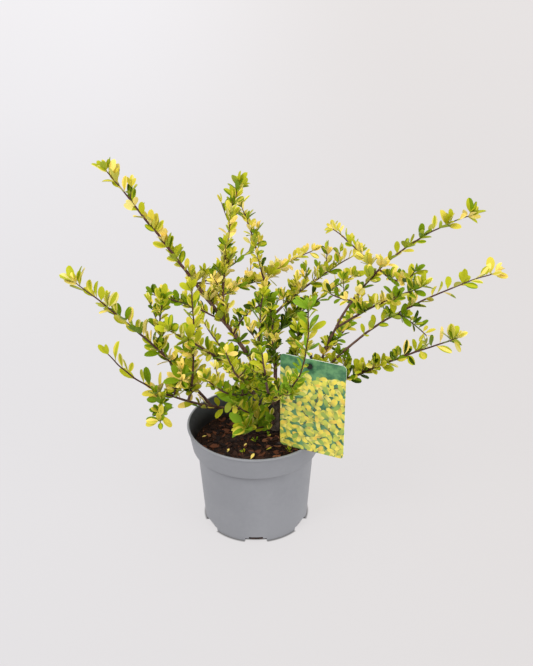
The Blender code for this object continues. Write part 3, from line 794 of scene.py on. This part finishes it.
# Lumps, ridges along the limb and now and then a knot
def barkRelief(seed, depth, ridges):
    def relief(ring, turn, radius):
        around = Vector((math.cos(turn), math.sin(turn), ring * 0.22 + seed))
        lump = noise.noise(around * 1.6) * 0.10 * radius
        ridge = abs(math.sin(0.5 * ridges * turn + 2.2 * noise.noise(around * 0.7)))
        knot = max(0, math.sin(ring * 1.1 + seed)) ** 10 * 0.05 * radius
        return lump + knot + depth * (ridge - 0.5)
    return relief


def barkFinish(name, scale):
    dark, light, grey = barkColours[name]
    finish = Finish(name, {"Specular IOR Level": 0.25})
    patches = finish.noise(7 * mm * scale, 4, 0.6)
    flecks = finish.noise(1.3 * mm * scale, 3, 0.6)
    colour = finish.mix(finish.step(patches, 0.38, 0.64), dark, light)
    finish.set("Base Color", finish.mix(finish.step(flecks, 0.56, 0.7), colour, grey))
    finish.set("Roughness", 0.68 + 0.2 * flecks)
    finish.bump(0.5 * patches + 0.5 * flecks, 0.6, 0.5 * mm * scale)
    return finish.material


# Leaves: a stalk and a blade folded at its midrib, in four strips, so that a margin can differ
leafShape = {
    "length": 17.5 * mm,
    "widthShare": 0.46,
    "thick": 0.5 * mm,
    "stalkWidth": 0.6 * mm,
    "rows": (0.08, 0.2, 0.4, 0.61, 0.8, 0.93),
    "bulge": 1.22,
    "roundTip": 0.5,
    "lengthVary": (0.82, 1.16),
    "widthVary": (0.85, 1.12),
    "fold": (0.1, 0.55),
    "curl": (-0.16, 0.14),
}
# Painted sheen: with the leaves' specular kept low, the pale tint and the paler, bluer gold, lime and
# underside tints partly stand in for their gloss; the rest is the leaves' own colour
leafTints = {
    "lime": (0.685, 0.59, 0.065),
    "pale": (0.8, 0.7, 0.22),
    "spring": (0.45, 0.468, 0.018),
    "gold": (1.0, 0.765, 0.185),
    "green": (0.175, 0.272, 0.006),
    "deep": (0.04, 0.074, 0.002),
    "fresh": (0.205, 0.345, 0.018),
    "backLime": (0.57, 0.555, 0.088),
    "backSpring": (0.375, 0.447, 0.042),
    "backGold": (0.9, 0.74, 0.22),
    "backGreen": (0.158, 0.257, 0.015),
}
tintNames = list(leafTints)
backOf = {
    "lime": "backLime", "pale": "backGold", "spring": "backSpring", "gold": "backGold",
    "green": "backGreen", "deep": "backGreen", "fresh": "backSpring",
}
# What a leaf's second tint may be
partners = {
    "lime": ("gold", "spring", "pale"), "pale": ("lime", "spring"), "spring": ("lime", "pale", "green"),
    "gold": ("lime", "pale", "spring"),
    "green": ("spring", "lime", "deep"), "deep": ("green", "spring", "gold"), "fresh": ("lime", "green"),
}
# Where a leaf's second tint goes, by strip or by row, and how often
markings = {"plain": 6, "margin": 3, "heart": 0.8, "left": 0.5, "right": 0.5, "foot": 0.6, "tip": 0.4}


def leafFinish(name, colour):
    # Specular is kept low; the leaves' gloss is partly painted into their tints as sheen
    finish = Finish("leaf_" + name, {"Base Color": colour, "Specular IOR Level": 0.06})
    veins = finish.noise(1.8 * mm, 2)
    finish.set("Roughness", 0.24 + 0.2 * veins)
    finish.bump(veins, 0.25, 0.25 * mm)
    return finish.material


def bladeWidth(share):
    return math.sin(math.pi * share ** leafShape["bulge"]) ** (0.9 - leafShape["roundTip"] * share)


# Leaf places in its own frame: X to the tip, Y across, Z off its face
def leafBody(length, width, fold, curl):
    rows, thick = leafShape["rows"], leafShape["thick"]
    places = [(0, 0, 0)]
    for share in rows:
        blade = (share - rows[0]) / (1 - rows[0])
        half = max(0.5 * width * bladeWidth(blade), 0.5 * leafShape["stalkWidth"])
        x, z = length * share, curl * length * share * share
        flat, lift = half * math.cos(fold), half * math.sin(fold)
        for across in (-1, -0.5, 0, 0.5, 1):
            pillow = 0.5 * thick * (1 - abs(across)) + 0.3 * thick * (abs(across) == 0.5)
            places.append((x, across * flat, z + abs(across) * lift + pillow))
        places.append((x, 0, z - 0.5 * thick))
    places.append((length, 0, curl * length))
    return np.array(places)


# The faces between its rows, six to a row: four strips above and two halves below
def leafFaces():
    count = len(leafShape["rows"])
    last = 6 * count + 1
    faces = [(0, 1 + i, 1 + (i + 1) % 6) for i in range(6)]
    for row in range(count - 1):
        a = 1 + 6 * row
        faces += [(a + i, a + 6 + i, a + 6 + (i + 1) % 6, a + (i + 1) % 6) for i in range(6)]
    a = last - 6
    return faces + [(a + i, last, a + (i + 1) % 6) for i in range(6)]


bladeFaces = leafFaces()
stripNames = ("left margin", "left heart", "right heart", "right margin", "under", "under")

# How leaves and side twigs stand on a limb. A pair is a range to draw from, or values at foot and tip
growth = {
    "firstOnBare": 0.42,
    "firstOnLeafy": 0.14,
    "leafStep": (3.8 * mm, 6.2 * mm),
    "twigLeafStep": (4.2 * mm, 5.8 * mm),
    "stepVary": (0.75, 1.25),
    "coreSize": 0.74,
    "coreShare": 0.35,
    "tipReach": 1.5 * mm,
    "twist": 0.65,
    "leafTurn": math.radians(137.5),
    "turnVary": 0.3,
    "spread": math.radians(60),
    "leanVary": (0.75, 1.25),
    "lift": 0.45,
    "liftVary": (0.5, 1.5),
    "tries": 3,
    "towardsLight": Vector((-0.12, -0.75, 0.65)),
    "upperSide": 0.7,
    "pairChance": 0.5,
    "pairSize": 0.85,
    "newTint": 0.45,
    "tintWander": 0.18,
    "moodEnds": (0.3, 0.72),
    "tuft": 4,
    "tuftLean": (14, 17),  # degrees for the first leaf, and more for each next one
    "whorlTurn": 2.4,
    "whorlLean": (48, 6),
    "spurChance": (0.85, 0.03),
    "spurLength": (10 * mm, 34 * mm),
    "spurOnSpur": 0.55,
    "tenderLength": 14 * mm,
    "twigRadius": 0.7 * mm,
    "twigSteps": 5,
    "twigSides": 6,
    "cardRoom": 2.5 * mm,
    "potRoom": 1 * mm,
    "soilRoom": 1.5 * mm,
    "reachRoom": 4 * mm,
}
# Wide whorls of larger leaves on some shoots: share of the shoot, leaves and their size
whorls = {
    "front_foot": ((1, 8, 1.25),),
    "front_spray": ((1, 7, 1.2), (0.6, 4, 1)),
    "left_cluster": ((1, 5, 1.1),),
    "front_right": ((0.12, 6, 1.1), (0.3, 6, 1.1), (0.72, 6, 1), (0.86, 7, 1.1), (1, 5, 1.1)),
    "tall_left": (
        (0.17, 8, 0.8), (0.23, 8, 0.85), (0.42, 7, 1), (0.5, 6, 1.05), (0.61, 5, 1.1), (0.66, 5, 1.1),
        (0.73, 4, 1.1), (0.95, 5, 1.05), (1, 4, 1),
    ),
    "tall_mid_left": ((0.9, 5, 1.05), (1, 7, 1.15)),
    "core_right": (
        (0.35, 7, 1), (0.5, 7, 1.1), (0.65, 7, 1), (0.74, 7, 1), (0.82, 7, 1.05), (0.9, 6, 1),
        (1, 7, 1.1),
    ),
    "low_left": ((0.53, 6, 0.9), (0.62, 5, 1)),
    "low_left_drop": ((0.55, 5, 0.9),),
    "long_left": (
        (0.36, 6, 0.85), (0.44, 5, 0.85), (0.58, 5, 0.95), (0.66, 4, 0.95), (0.8, 5, 1), (1, 4, 0.95),
    ),
    "left_riser": ((0.2, 5, 0.9), (0.6, 6, 0.95), (0.74, 5, 0.95)),
    "left_twig": ((0.12, 5, 0.9), (0.7, 5, 1), (1, 5, 1)),
    "front_left": ((0.64, 6, 0.9), (0.72, 6, 0.9), (0.88, 7, 1), (1, 6, 1.08)),
    "front_low_left": ((0.88, 6, 0.9), (1, 6, 1)),
    "arching": ((0.5, 5, 0.95), (0.63, 6, 0.95), (0.75, 5, 1), (0.9, 6, 1.05)),
    "mid_right_top": ((0.14, 6, 1.1), (0.24, 6, 1.15), (0.36, 5, 1.1)),
    "great_right": (
        (0.05, 7, 1), (0.09, 8, 1), (0.13, 8, 1), (0.18, 8, 0.85), (0.22, 8, 0.8), (0.53, 7, 1.15),
        (0.6, 6, 1.05), (0.72, 4, 1.1), (0.79, 4, 1.05), (0.9, 4, 1.1), (1, 4, 1.15),
    ),
    "right_mid": (
        (0.36, 6, 0.9), (0.47, 6, 1), (0.57, 5, 0.95), (0.72, 6, 1), (0.92, 5, 1.05), (1, 6, 1.1),
    ),
    "right_low_fork": ((0.3, 5, 1), (0.6, 6, 1)),
    "right_drop": ((0.12, 7, 1.1), (0.5, 5, 1)),
    "right_fork": ((0.12, 6, 1.1),),
    "low_right": (
        (0.1, 8, 0.85), (0.17, 8, 0.85), (0.24, 7, 0.9), (0.42, 6, 0.95), (0.5, 6, 0.95), (0.6, 6, 0.9),
        (0.68, 5, 0.95), (0.97, 4, 1.2),
    ),
    "long_right": (
        (0.05, 8, 1), (0.1, 8, 1), (0.15, 7, 1), (0.2, 7, 0.85), (0.25, 7, 0.8), (0.52, 6, 0.95),
        (0.62, 5, 1), (0.84, 4, 1.1), (0.97, 4, 1.1),
    ),
    "tall_mid": (
        (0.16, 8, 0.8), (0.23, 8, 0.85), (0.3, 7, 0.8), (0.4, 6, 0.85), (0.92, 5, 1.15), (1, 5, 1.2),
    ),
    "inner": ((1, 6, 0.95),),
    "back_mid": ((0.1, 7, 0.8), (0.2, 7, 0.8), (0.35, 7, 0.8), (0.55, 6, 0.8)),
    "back_right": (
        (0.1, 7, 1), (0.17, 7, 0.9), (0.25, 7, 1), (0.45, 6, 0.95), (0.7, 6, 1), (0.9, 6, 1.05),
        (1, 6, 1.05),
    ),
    "mid_right": ((0.22, 6, 0.9), (0.65, 6, 1)),
    "back_far": ((0.06, 8, 0.9), (0.12, 8, 0.9), (0.18, 7, 0.9), (0.5, 5, 0.9)),
    "front_riser": ((0.3, 7, 0.8), (0.45, 7, 0.85), (0.58, 7, 0.85)),
}
# Limbs whose side twigs are rarer than the rule gives
plainLimbs = {
    "front_right": 0.25, "right_fork": 0.4, "right_low_fork": 0.2, "great_right": 0.35, "tall_left": 0.6,
    "long_right": 0.5, "right_mid": 0.8, "low_left": 0.4, "long_left": 0.5, "mid_right_top": 0.25,
    "inner": 0.3, "thin_left": 0.5, "right_drop": 0.2, "back_far": 0.6, "right_inner": 0.5,
}
# Longer steps between the leaves of some limbs, reached at the tip
openLimbs = {"low_left": 2.4, "long_left": 1.3, "long_right": 1.3, "right_drop": 1.7}
# Limbs with narrower leaves than the rest
slimLeaves = {"front_right": 0.74, "right_drop": 0.8, "low_left": 0.92}
# Where the first leaves stand, on limbs that are leafy from the foot
firstLeaves = {
    "low_right": 0.08, "great_right": 0.46, "long_right": 0.4, "right_mid": 0.3, "back_far": 0.3,
    "tall_mid": 0.12,
}
# How often each tint comes in each mood
moods = {
    # The core mood puts many deep and green leaves at the feet of limbs: partly the inner leaves' own
    # darker green, partly painted shade in the crown's dense core
    "core": {"deep": 4.4, "green": 5, "gold": 1.6, "spring": 1.7},
    "olive": {"lime": 4, "spring": 4.8, "pale": 0.3, "green": 0.7, "gold": 1.1},
    "deep": {"deep": 6, "green": 4, "spring": 1},
    "green": {"green": 4.6, "spring": 3, "deep": 1.3, "lime": 1.1, "gold": 0.5},
    "fresh": {"fresh": 6, "spring": 2.5, "lime": 1.5},
    "mixed": {"spring": 3.7, "green": 2.5, "lime": 2.4, "gold": 2.5, "pale": 0.8},
    "lime": {"lime": 4.2, "spring": 3.3, "gold": 1.8, "pale": 1, "green": 0.8},
    "gold": {"gold": 4, "lime": 2.5, "spring": 2, "pale": 1.2, "green": 1},
}


def sideOf(along, roll):
    level = along.cross(up) if abs(along.z) < 0.95 else along.cross(sideways)
    return Matrix.Rotation(roll, 3, along) @ level.normalized()


def clearOfPot(places):
    level = np.hypot(places[:, 0], places[:, 1])
    room, rim = growth["potRoom"], potShape["rimRadius"]
    low = places[:, 2] < potShape["height"] + room
    byWall = (level > rim - 9 * mm) & (level < rim + room)
    return not (low & (byWall | (places[:, 2] < soil["top"] + growth["soilRoom"]))).any()


intoCard = np.array(cardFrame.inverted())


def clearOfCard(places):
    own = places @ intoCard[:3, :3].T + intoCard[:3, 3]
    room = growth["cardRoom"]
    beside = np.abs(own[:, 0]) > card["width"] / 2 + room
    above = own[:, 2] > card["height"] + card["overCard"]
    below = own[:, 2] < -room
    inFront = own[:, 1] < -room
    behind = own[:, 1] > 2 * room
    free = beside | above | below
    return bool((free | inFront).all() or (free | behind).all())


# Keeps what grows inside the CAD model's own box
def inReach(places):
    low = np.array(cadLow) - growth["reachRoom"]
    high = np.array(cadHigh) + growth["reachRoom"]
    return bool(((places > low) & (places < high)).all())


# What grows on all limbs: leaves by piece, woody shoots, and the tender tips of twigs
class Crown:
    def __init__(self):
        self.leaves = {}
        self.shoots = Heap()
        self.tips = Heap()
        self.count = 0

    def heapFor(self, group):
        return self.leaves.setdefault(group, Heap())


# One limb's leafy growth: its seeded choices, tints and leaf sizes
class Shoot:
    def __init__(self, crown, limb, group):
        self.crown = crown
        self.pick = random.Random("leaves_" + limb.name)
        self.group = group
        self.moods = limb.moods.split()
        self.length = leafShape["length"] * limb.leafSize
        self.whorls = whorls.get(limb.name, ())
        self.twiggy = plainLimbs.get(limb.name, 1)
        self.openness = openLimbs.get(limb.name, 1) - 1
        self.widthShare = leafShape["widthShare"] * slimLeaves.get(limb.name, 1)

    def tintAt(self, share):
        foot, middle, tip = self.moods
        footEnd, middleEnd = growth["moodEnds"]
        wander = share + self.pick.uniform(-growth["tintWander"], growth["tintWander"])
        mood = moods[foot if wander < footEnd else middle if wander < middleEnd else tip]
        return self.pick.choices(list(mood), list(mood.values()))[0]

    def addLeaf(self, root, along, roll, tint, size, spread):
        pick = self.pick
        for tries in range(growth["tries"]):
            lean = spread * pick.uniform(*growth["leanVary"])
            side = sideOf(along, roll + 0.6 * tries)
            lift = growth["lift"] * pick.uniform(*growth["liftVary"])
            aim = (along * math.cos(lean) + side * math.sin(lean) + up * lift).normalized()
            face = along * 0.4 + up * 0.7 + growth["towardsLight"] * 0.6
            face = (face - aim * face.dot(aim)).normalized()
            face = Matrix.Rotation(pick.gauss(0, growth["twist"]), 3, aim) @ face
            turn = Matrix((aim, face.cross(aim), face)).transposed()
            length = self.length * size * pick.uniform(*leafShape["lengthVary"]) * (1 - 0.1 * tries)
            width = length * self.widthShare * pick.uniform(*leafShape["widthVary"])
            fold, curl = pick.uniform(*leafShape["fold"]), pick.uniform(*leafShape["curl"])
            places = placed(leafBody(length, width, fold, curl), turn, root)
            if clearOfPot(places) and clearOfCard(places) and inReach(places):
                self.crown.heapFor(self.group).add(places, bladeFaces, self.faceTints(tint))
                self.crown.count += 1
                return

    # A leaf is one tint above and paler below, and many have a part of a second tint
    def faceTints(self, tint):
        pick = self.pick
        other = pick.choice(partners[tint])
        way = pick.choices(list(markings), list(markings.values()))[0]
        cut = pick.randint(2, 4)
        made = []
        for index in range(len(bladeFaces)):
            strip, row = stripNames[index % 6], index // 6
            marked = way in strip or (way == "foot" and row < cut) or (way == "tip" and row > cut)
            name = other if marked else tint
            made.append(tintNames.index(backOf[name] if strip == "under" else name))
        return made

    # Leaves by turns along a path, a side twig at some of them, and a tuft at the tip
    def dress(self, points, first, share0, share1, order, steps):
        pick = self.pick
        length = sum((b - a).length for a, b in zip(points, points[1:]))
        roll = pick.uniform(0, math.tau)
        here = first
        tint = self.tintAt(share0)
        while here < length - 0.35 * steps[1]:
            part = here / length
            root = pointAt(points, part)
            along = (pointAt(points, part + 0.02) - pointAt(points, part - 0.02)).normalized()
            roll += growth["leafTurn"] + pick.uniform(-growth["turnVary"], growth["turnVary"])
            if sideOf(along, roll).z < -0.2 and pick.random() < growth["upperSide"]:
                roll += math.pi
            share = share0 + (share1 - share0) * part
            if pick.random() < growth["newTint"]:
                tint = self.tintAt(share)
            inCore = 1 - min(share / growth["coreShare"], 1)
            size = 0.95 - 0.15 * part if order else 0.86 + 0.2 * part
            size *= 1 + (growth["coreSize"] - 1) * inCore
            most, least = growth["spurChance"]
            chance = self.twiggy * (least + (most - least) * (1 - share) ** 2)
            if order < 2 and pick.random() < chance and length - here > 1.6 * steps[1]:
                self.addTwig(root, along, roll, share, order, length - here)
            self.addLeaf(root, along, roll + 0.8, tint, size, growth["spread"])
            if pick.random() < growth["pairChance"] / (1 + 2 * self.openness * share):
                self.addLeaf(root, along, roll - 0.5, tint, growth["pairSize"] * size, growth["spread"])
            step = (steps[0] + (steps[1] - steps[0]) * share) * (1 + self.openness * share)
            here += step * pick.uniform(*growth["stepVary"])
        along = (points[-1] - points[-2]).normalized()
        tint = self.tintAt(share1)
        lean, opening = growth["tuftLean"]
        for turn in range(growth["tuft"] - 2 * (order > 0 or self.openness > 1) + pick.randint(0, 1)):
            root = points[-1] - along * (0.6 * mm + 1.4 * mm * turn)
            spread = math.radians(lean + opening * turn)
            self.addLeaf(root, along, roll + turn * growth["whorlTurn"], tint, 0.7 + 0.08 * turn, spread)

    def addWhorls(self, points):
        lean, opening = growth["whorlLean"]
        for share, number, size in self.whorls:
            root = pointAt(points, share)
            along = (root - pointAt(points, share - 0.03)).normalized()
            aim = (along + up * 0.5).normalized()
            tint = self.tintAt(share)
            roll = self.pick.uniform(0, math.tau)
            for turn in range(number):
                spread = math.radians(lean + opening * turn)
                self.addLeaf(root, aim, roll + turn * growth["whorlTurn"], tint, size, spread)

    def addTwig(self, root, along, roll, share, order, room):
        pick = self.pick
        shortest, longest = growth["spurLength"]
        reach = pick.uniform(shortest, min(longest, shortest + 0.55 * room))
        reach *= growth["spurOnSpur"] if order else 1
        side = sideOf(along, roll)
        aim = (along * 0.7 + side * 0.75 + up * 0.35).normalized()
        points = [root]
        steps = growth["twigSteps"]
        for _ in range(steps):
            aim = (aim + up * 0.1 + side * pick.uniform(-0.08, 0.08)).normalized()
            points.append(points[-1] + aim * reach / steps)
        places = np.array(points)
        if not (clearOfPot(places) and clearOfCard(places) and inReach(places)):
            return
        radius = growth["twigRadius"] * (0.75 if order else 1)
        radii = [radius * (1 - 0.4 * i / steps) for i in range(steps + 1)]
        tender = order > 0 or reach < growth["tenderLength"]
        addLimb(self.crown.tips if tender else self.crown.shoots, points, radii, growth["twigSides"])
        self.dress(points, 0.35 * reach, share, min(share + 0.15, 1), order + 1, growth["twigLeafStep"])


# Seedlings and shed leaves on the compost
litter = {
    "fromWall": 9 * mm,
    "sizeVary": (0.7, 1.2),
    "sprigs": 9,
    "sprigLeaves": (4, 7),
    "sprigLeaf": 5.5 * mm,
    "sprigTints": ("fresh", "green", "spring"),
    "fallen": 12,
    "fallenLeaf": 8 * mm,
    "fallenTints": ("gold", "gold", "lime"),
}


def makeLitter(looks):
    pick = random.Random("litter")
    heap = Heap()
    for _ in range(litter["sprigs"]):
        x, y = onGround(pick, litter["fromWall"])
        for turn in range(pick.randint(*litter["sprigLeaves"])):
            length = litter["sprigLeaf"] * pick.uniform(*litter["sizeVary"])
            body = leafBody(length, 0.5 * length, 0.3, 0.1)
            at = (x + pick.uniform(-2, 2) * mm, y + pick.uniform(-2, 2) * mm, groundHeight(x, y) + 1 * mm)
            tint = tintNames.index(pick.choice(litter["sprigTints"]))
            stand = turned(growth["whorlTurn"] * turn, pick.uniform(-1.1, -0.3), 0)
            heap.add(placed(body, stand, at), bladeFaces, tint)
    for _ in range(litter["fallen"]):
        x, y = onGround(pick, litter["fromWall"])
        length = litter["fallenLeaf"] * pick.uniform(*litter["sizeVary"])
        body = leafBody(length, 0.45 * length, pick.uniform(0.1, 0.5), pick.uniform(-0.1, 0.25))
        turn = turned(pick.uniform(0, math.tau), pick.uniform(-0.4, 0.1), 0)
        tint = tintNames.index(pick.choice(litter["fallenTints"]))
        heap.add(placed(body, turn, (x, y, groundHeight(x, y) + 2 * mm)), bladeFaces, tint)
    finishPiece(heap.piece("soil_litter", looks, 55), "leaves")


# The piece that a limb's leaves go to, by where its tip is
def groupOf(tip):
    if tip.y > 120 * mm:
        return "crown_back"
    if tip.x < -60 * mm:
        return "crown_left"
    if tip.x > 100 * mm:
        return "crown_right"
    return "crown_front" if tip.y < 0 else "crown_middle"


def makeTrunkAndLimbs():
    bark = Heap()
    boughs = Heap()
    crown = Crown()
    points = []
    radii = []
    for step in range(trunk["rings"]):
        share = step / (trunk["rings"] - 1)
        here = trunk["foot"].lerp(trunk["fork"], share)
        here.x += trunk["sway"] * math.sin(math.pi * share)
        points.append(here)
        flare = (trunk["flare"] - trunk["radius"]) * (1 - share) ** 6
        radii.append(trunk["radius"] + (trunk["forkRadius"] - trunk["radius"]) * share + flare)
    addLimb(bark, points, radii, trunk["sides"], barkRelief(*trunk["relief"]))
    paths = {"trunk": points}
    groups = {}
    for index, limb in enumerate(limbs):
        root = pointAt(paths[limb.parent], limb.at)
        path = limbPath(root, limb)
        path[-1] = path[-1] + (path[-1] - path[-2]).normalized() * growth["tipReach"]
        path = crooked(path, 7.3 * index, wood["crook"] * min(1, limb.length / wood["fullCrook"]))
        paths[limb.name] = path
        group = groupOf(path[-1])
        groups.setdefault(group, []).append("leaves_" + limb.name)
        radii = [limbRadius(limb, i / (len(path) - 1)) for i in range(len(path))]
        barkShare = limb.bare * wood["barkShare"] if limb.bare else wood["leafyBarkShare"]
        barkEnd = int(len(path) * barkShare)
        if barkEnd > 3:
            relief = barkRelief(index * 1.7, *wood["boughRelief"])
            addLimb(boughs, path[:barkEnd + 1], radii[:barkEnd + 1], wood["boughSides"], relief)
        fine = barkRelief(index * 2.3, *wood["shootRelief"])
        addLimb(crown.shoots, path[barkEnd:], radii[barkEnd:], wood["shootSides"], fine)
        shoot = Shoot(crown, limb, group)
        usual = limb.bare * growth["firstOnBare"] if limb.bare else growth["firstOnLeafy"]
        first = firstLeaves.get(limb.name, usual)
        shoot.dress(path, first * limb.length * mm, first, 1, 0, growth["leafStep"])
        shoot.addWhorls(path)
    print(f"{crown.count} leaves on {len(limbs)} limbs")
    return bark, boughs, crown, groups


def shootFinish(name):
    sockets = {"Base Color": shootColours[name], "Roughness": 0.6, "Specular IOR Level": 0.25}
    finish = Finish(name, sockets)
    finish.bump(finish.noise(1.2 * mm, 3), 0.4, 0.2 * mm)
    return finish.material


def makePlant():
    bark, boughs, crown, groups = makeTrunkAndLimbs()
    finishPiece(bark.piece("trunk_bark", [barkFinish("barkTrunk", 1)], 60), "bark", "trunk")
    nodes = [name for name in frame["nodes"] if name.startswith("bough_")]
    finishPiece(boughs.piece("bough_bark", [barkFinish("barkBoughs", 0.8)], 60), "bark", *nodes)
    finishPiece(crown.shoots.piece("shoots", [shootFinish("shootPurple")], 60), "bark")
    finishPiece(crown.tips.piece("twigs", [shootFinish("shootGreen")], 60), "bark")
    looks = [leafFinish(name, colour) for name, colour in leafTints.items()]
    for group, heap in crown.leaves.items():
        finishPiece(heap.piece(group, looks, 55), "leaves", *groups[group])
    makeLitter(looks)


# A pale seamless floor and backdrop, soft light, and the camera
studio = {
    "floor": (0.09, 0.0885, 0.088),
    "glowLeft": (0.7, 0.688, 0.706),
    "glowRight": (0.675, 0.648, 0.642),
    "footGlow": (0.03, 0.03, 0.03),
    "world": (0.97, 0.965, 1.0),
    "worldStrength": 1.1,
    "flat": 2.3,
    "bend": 1.3,
    "tall": 0.4,
    "sides": 120,
    "bendSteps": 16,
    "across": (-0.7, 0.6),
    "nearGlow": (0.1, 0.7),
    "underPot": (60 * mm, 64 * mm),
    "underWall": (66 * mm, 69 * mm),
}
view = {
    "target": Vector((14.5, 0, 259.2)) * mm,
    "distance": 1.129,
    "pitch": math.radians(27),
    "roll": math.radians(-0.3),
    "focalPixels": 950,
    "imageHeight": 666,
    "sensor": 36,
}


def makeStudio():
    flat, bend, steps = studio["flat"], studio["bend"], studio["bendSteps"]
    profile = [(flat, 0)]
    for step in range(1, steps + 1):
        turn = math.pi / 2 * step / steps
        profile.append((flat + bend * math.sin(turn), bend * (1 - math.cos(turn))))
    profile.append((flat + bend, bend + studio["tall"]))
    sweep = lathe("floor_sweep", profile, studio["sides"])
    selectOnly(sweep, "FACE", lambda face: face.center.z > bend + 0.9 * studio["tall"])
    bpy.ops.mesh.delete(type="FACE")
    bpy.ops.object.mode_set(mode="OBJECT")
    smoothByAngle(sweep, 60)
    sockets = {"Base Color": studio["floor"], "Roughness": 0.9, "Specular IOR Level": 0.1}
    finish = Finish("floorPaper", sockets)
    x, y, z = (finish.axis(finish.place(), i) for i in range(3))
    right = finish.step(x, *studio["across"])
    glow = finish.mix(right, studio["glowLeft"], studio["glowRight"])
    level = finish.maths("SQRT", x * x + y * y)
    near = 1 - finish.step(level, *studio["nearGlow"])
    bright = 0.935 + (y + z) * (0.06 - 0.028 * right) + 0.025 * near
    # The shadow under the pot, and on to its edge where the wall stands between two slots
    under = 1 - finish.step(level, *studio["underPot"])
    ring = 1 - finish.step(level, *studio["underWall"])
    turns = finish.maths("COSINE", finish.maths("ARCTAN2", y, x) * potShape["slots"])
    byWall = finish.step(turns, -0.4, -0.2)
    shadow = finish.maths("MAXIMUM", 0.85 * ring * byWall, under)
    lit = finish.node("VectorMath", {"operation": "SCALE"}, {0: glow, "Scale": bright})
    finish.set("Emission Color", finish.mix(shadow, lit, studio["footGlow"]))
    finish.set("Emission Strength", 1)
    sweep.data.materials.append(finish.material)
    world = bpy.data.worlds.new("softRoom")
    world.use_nodes = True
    sky = world.node_tree.nodes["Background"]
    sky.inputs["Color"].default_value = (*studio["world"], 1)
    sky.inputs["Strength"].default_value = studio["worldStrength"]
    bpy.context.scene.world = world
    bpy.context.scene.view_settings.view_transform = "Standard"
    print("floor and sky")


# Each lamp: its place, the point it faces, size, power and colour
lamps = {
    "key_light": ((-1.3, -1.5, 2.3), (0, 0, 0.2), 1, 34, (1, 0.985, 0.96)),
    "fill_light": ((1.9, -1.4, 1.3), (0, 0, 0.1), 1.4, 21.5, (0.98, 0.99, 1)),
}


def makeLights():
    for name, (at, aim, size, power, colour) in lamps.items():
        light = bpy.data.lights.new(name, "AREA")
        light.shape = "RECTANGLE"
        light.size = size
        light.size_y = size
        light.energy = power
        light.color = colour
        holder = bpy.data.objects.new(name, light)
        holder.location = at
        holder.rotation_euler = (Vector(aim) - Vector(at)).to_track_quat("-Z", "Y").to_euler()
        bpy.context.scene.collection.objects.link(holder)
        print(f"{name}: {power} W")


def makeCamera():
    camera = bpy.data.objects.new("camera", bpy.data.cameras.new("camera"))
    camera.data.sensor_width = view["sensor"]
    camera.data.lens = view["focalPixels"] / view["imageHeight"] * view["sensor"]
    forward = Vector((0, math.cos(view["pitch"]), -math.sin(view["pitch"])))
    place = Matrix.Translation(view["target"] - forward * view["distance"])
    tilt = Matrix.Rotation(math.pi / 2 - view["pitch"], 4, "X")
    camera.matrix_world = place @ tilt @ Matrix.Rotation(view["roll"], 4, "Z")
    camera.data.clip_start = 0.02
    camera.data.clip_end = 50
    bpy.context.scene.collection.objects.link(camera)
    bpy.context.scene.camera = camera
    print(f"camera: {camera.data.lens:.1f} mm lens")


makeCamera()
makeStudio()
makeLights()
makePot()
makeSoil()
makeChips()
makeCard()
makeStick()
makePlant()
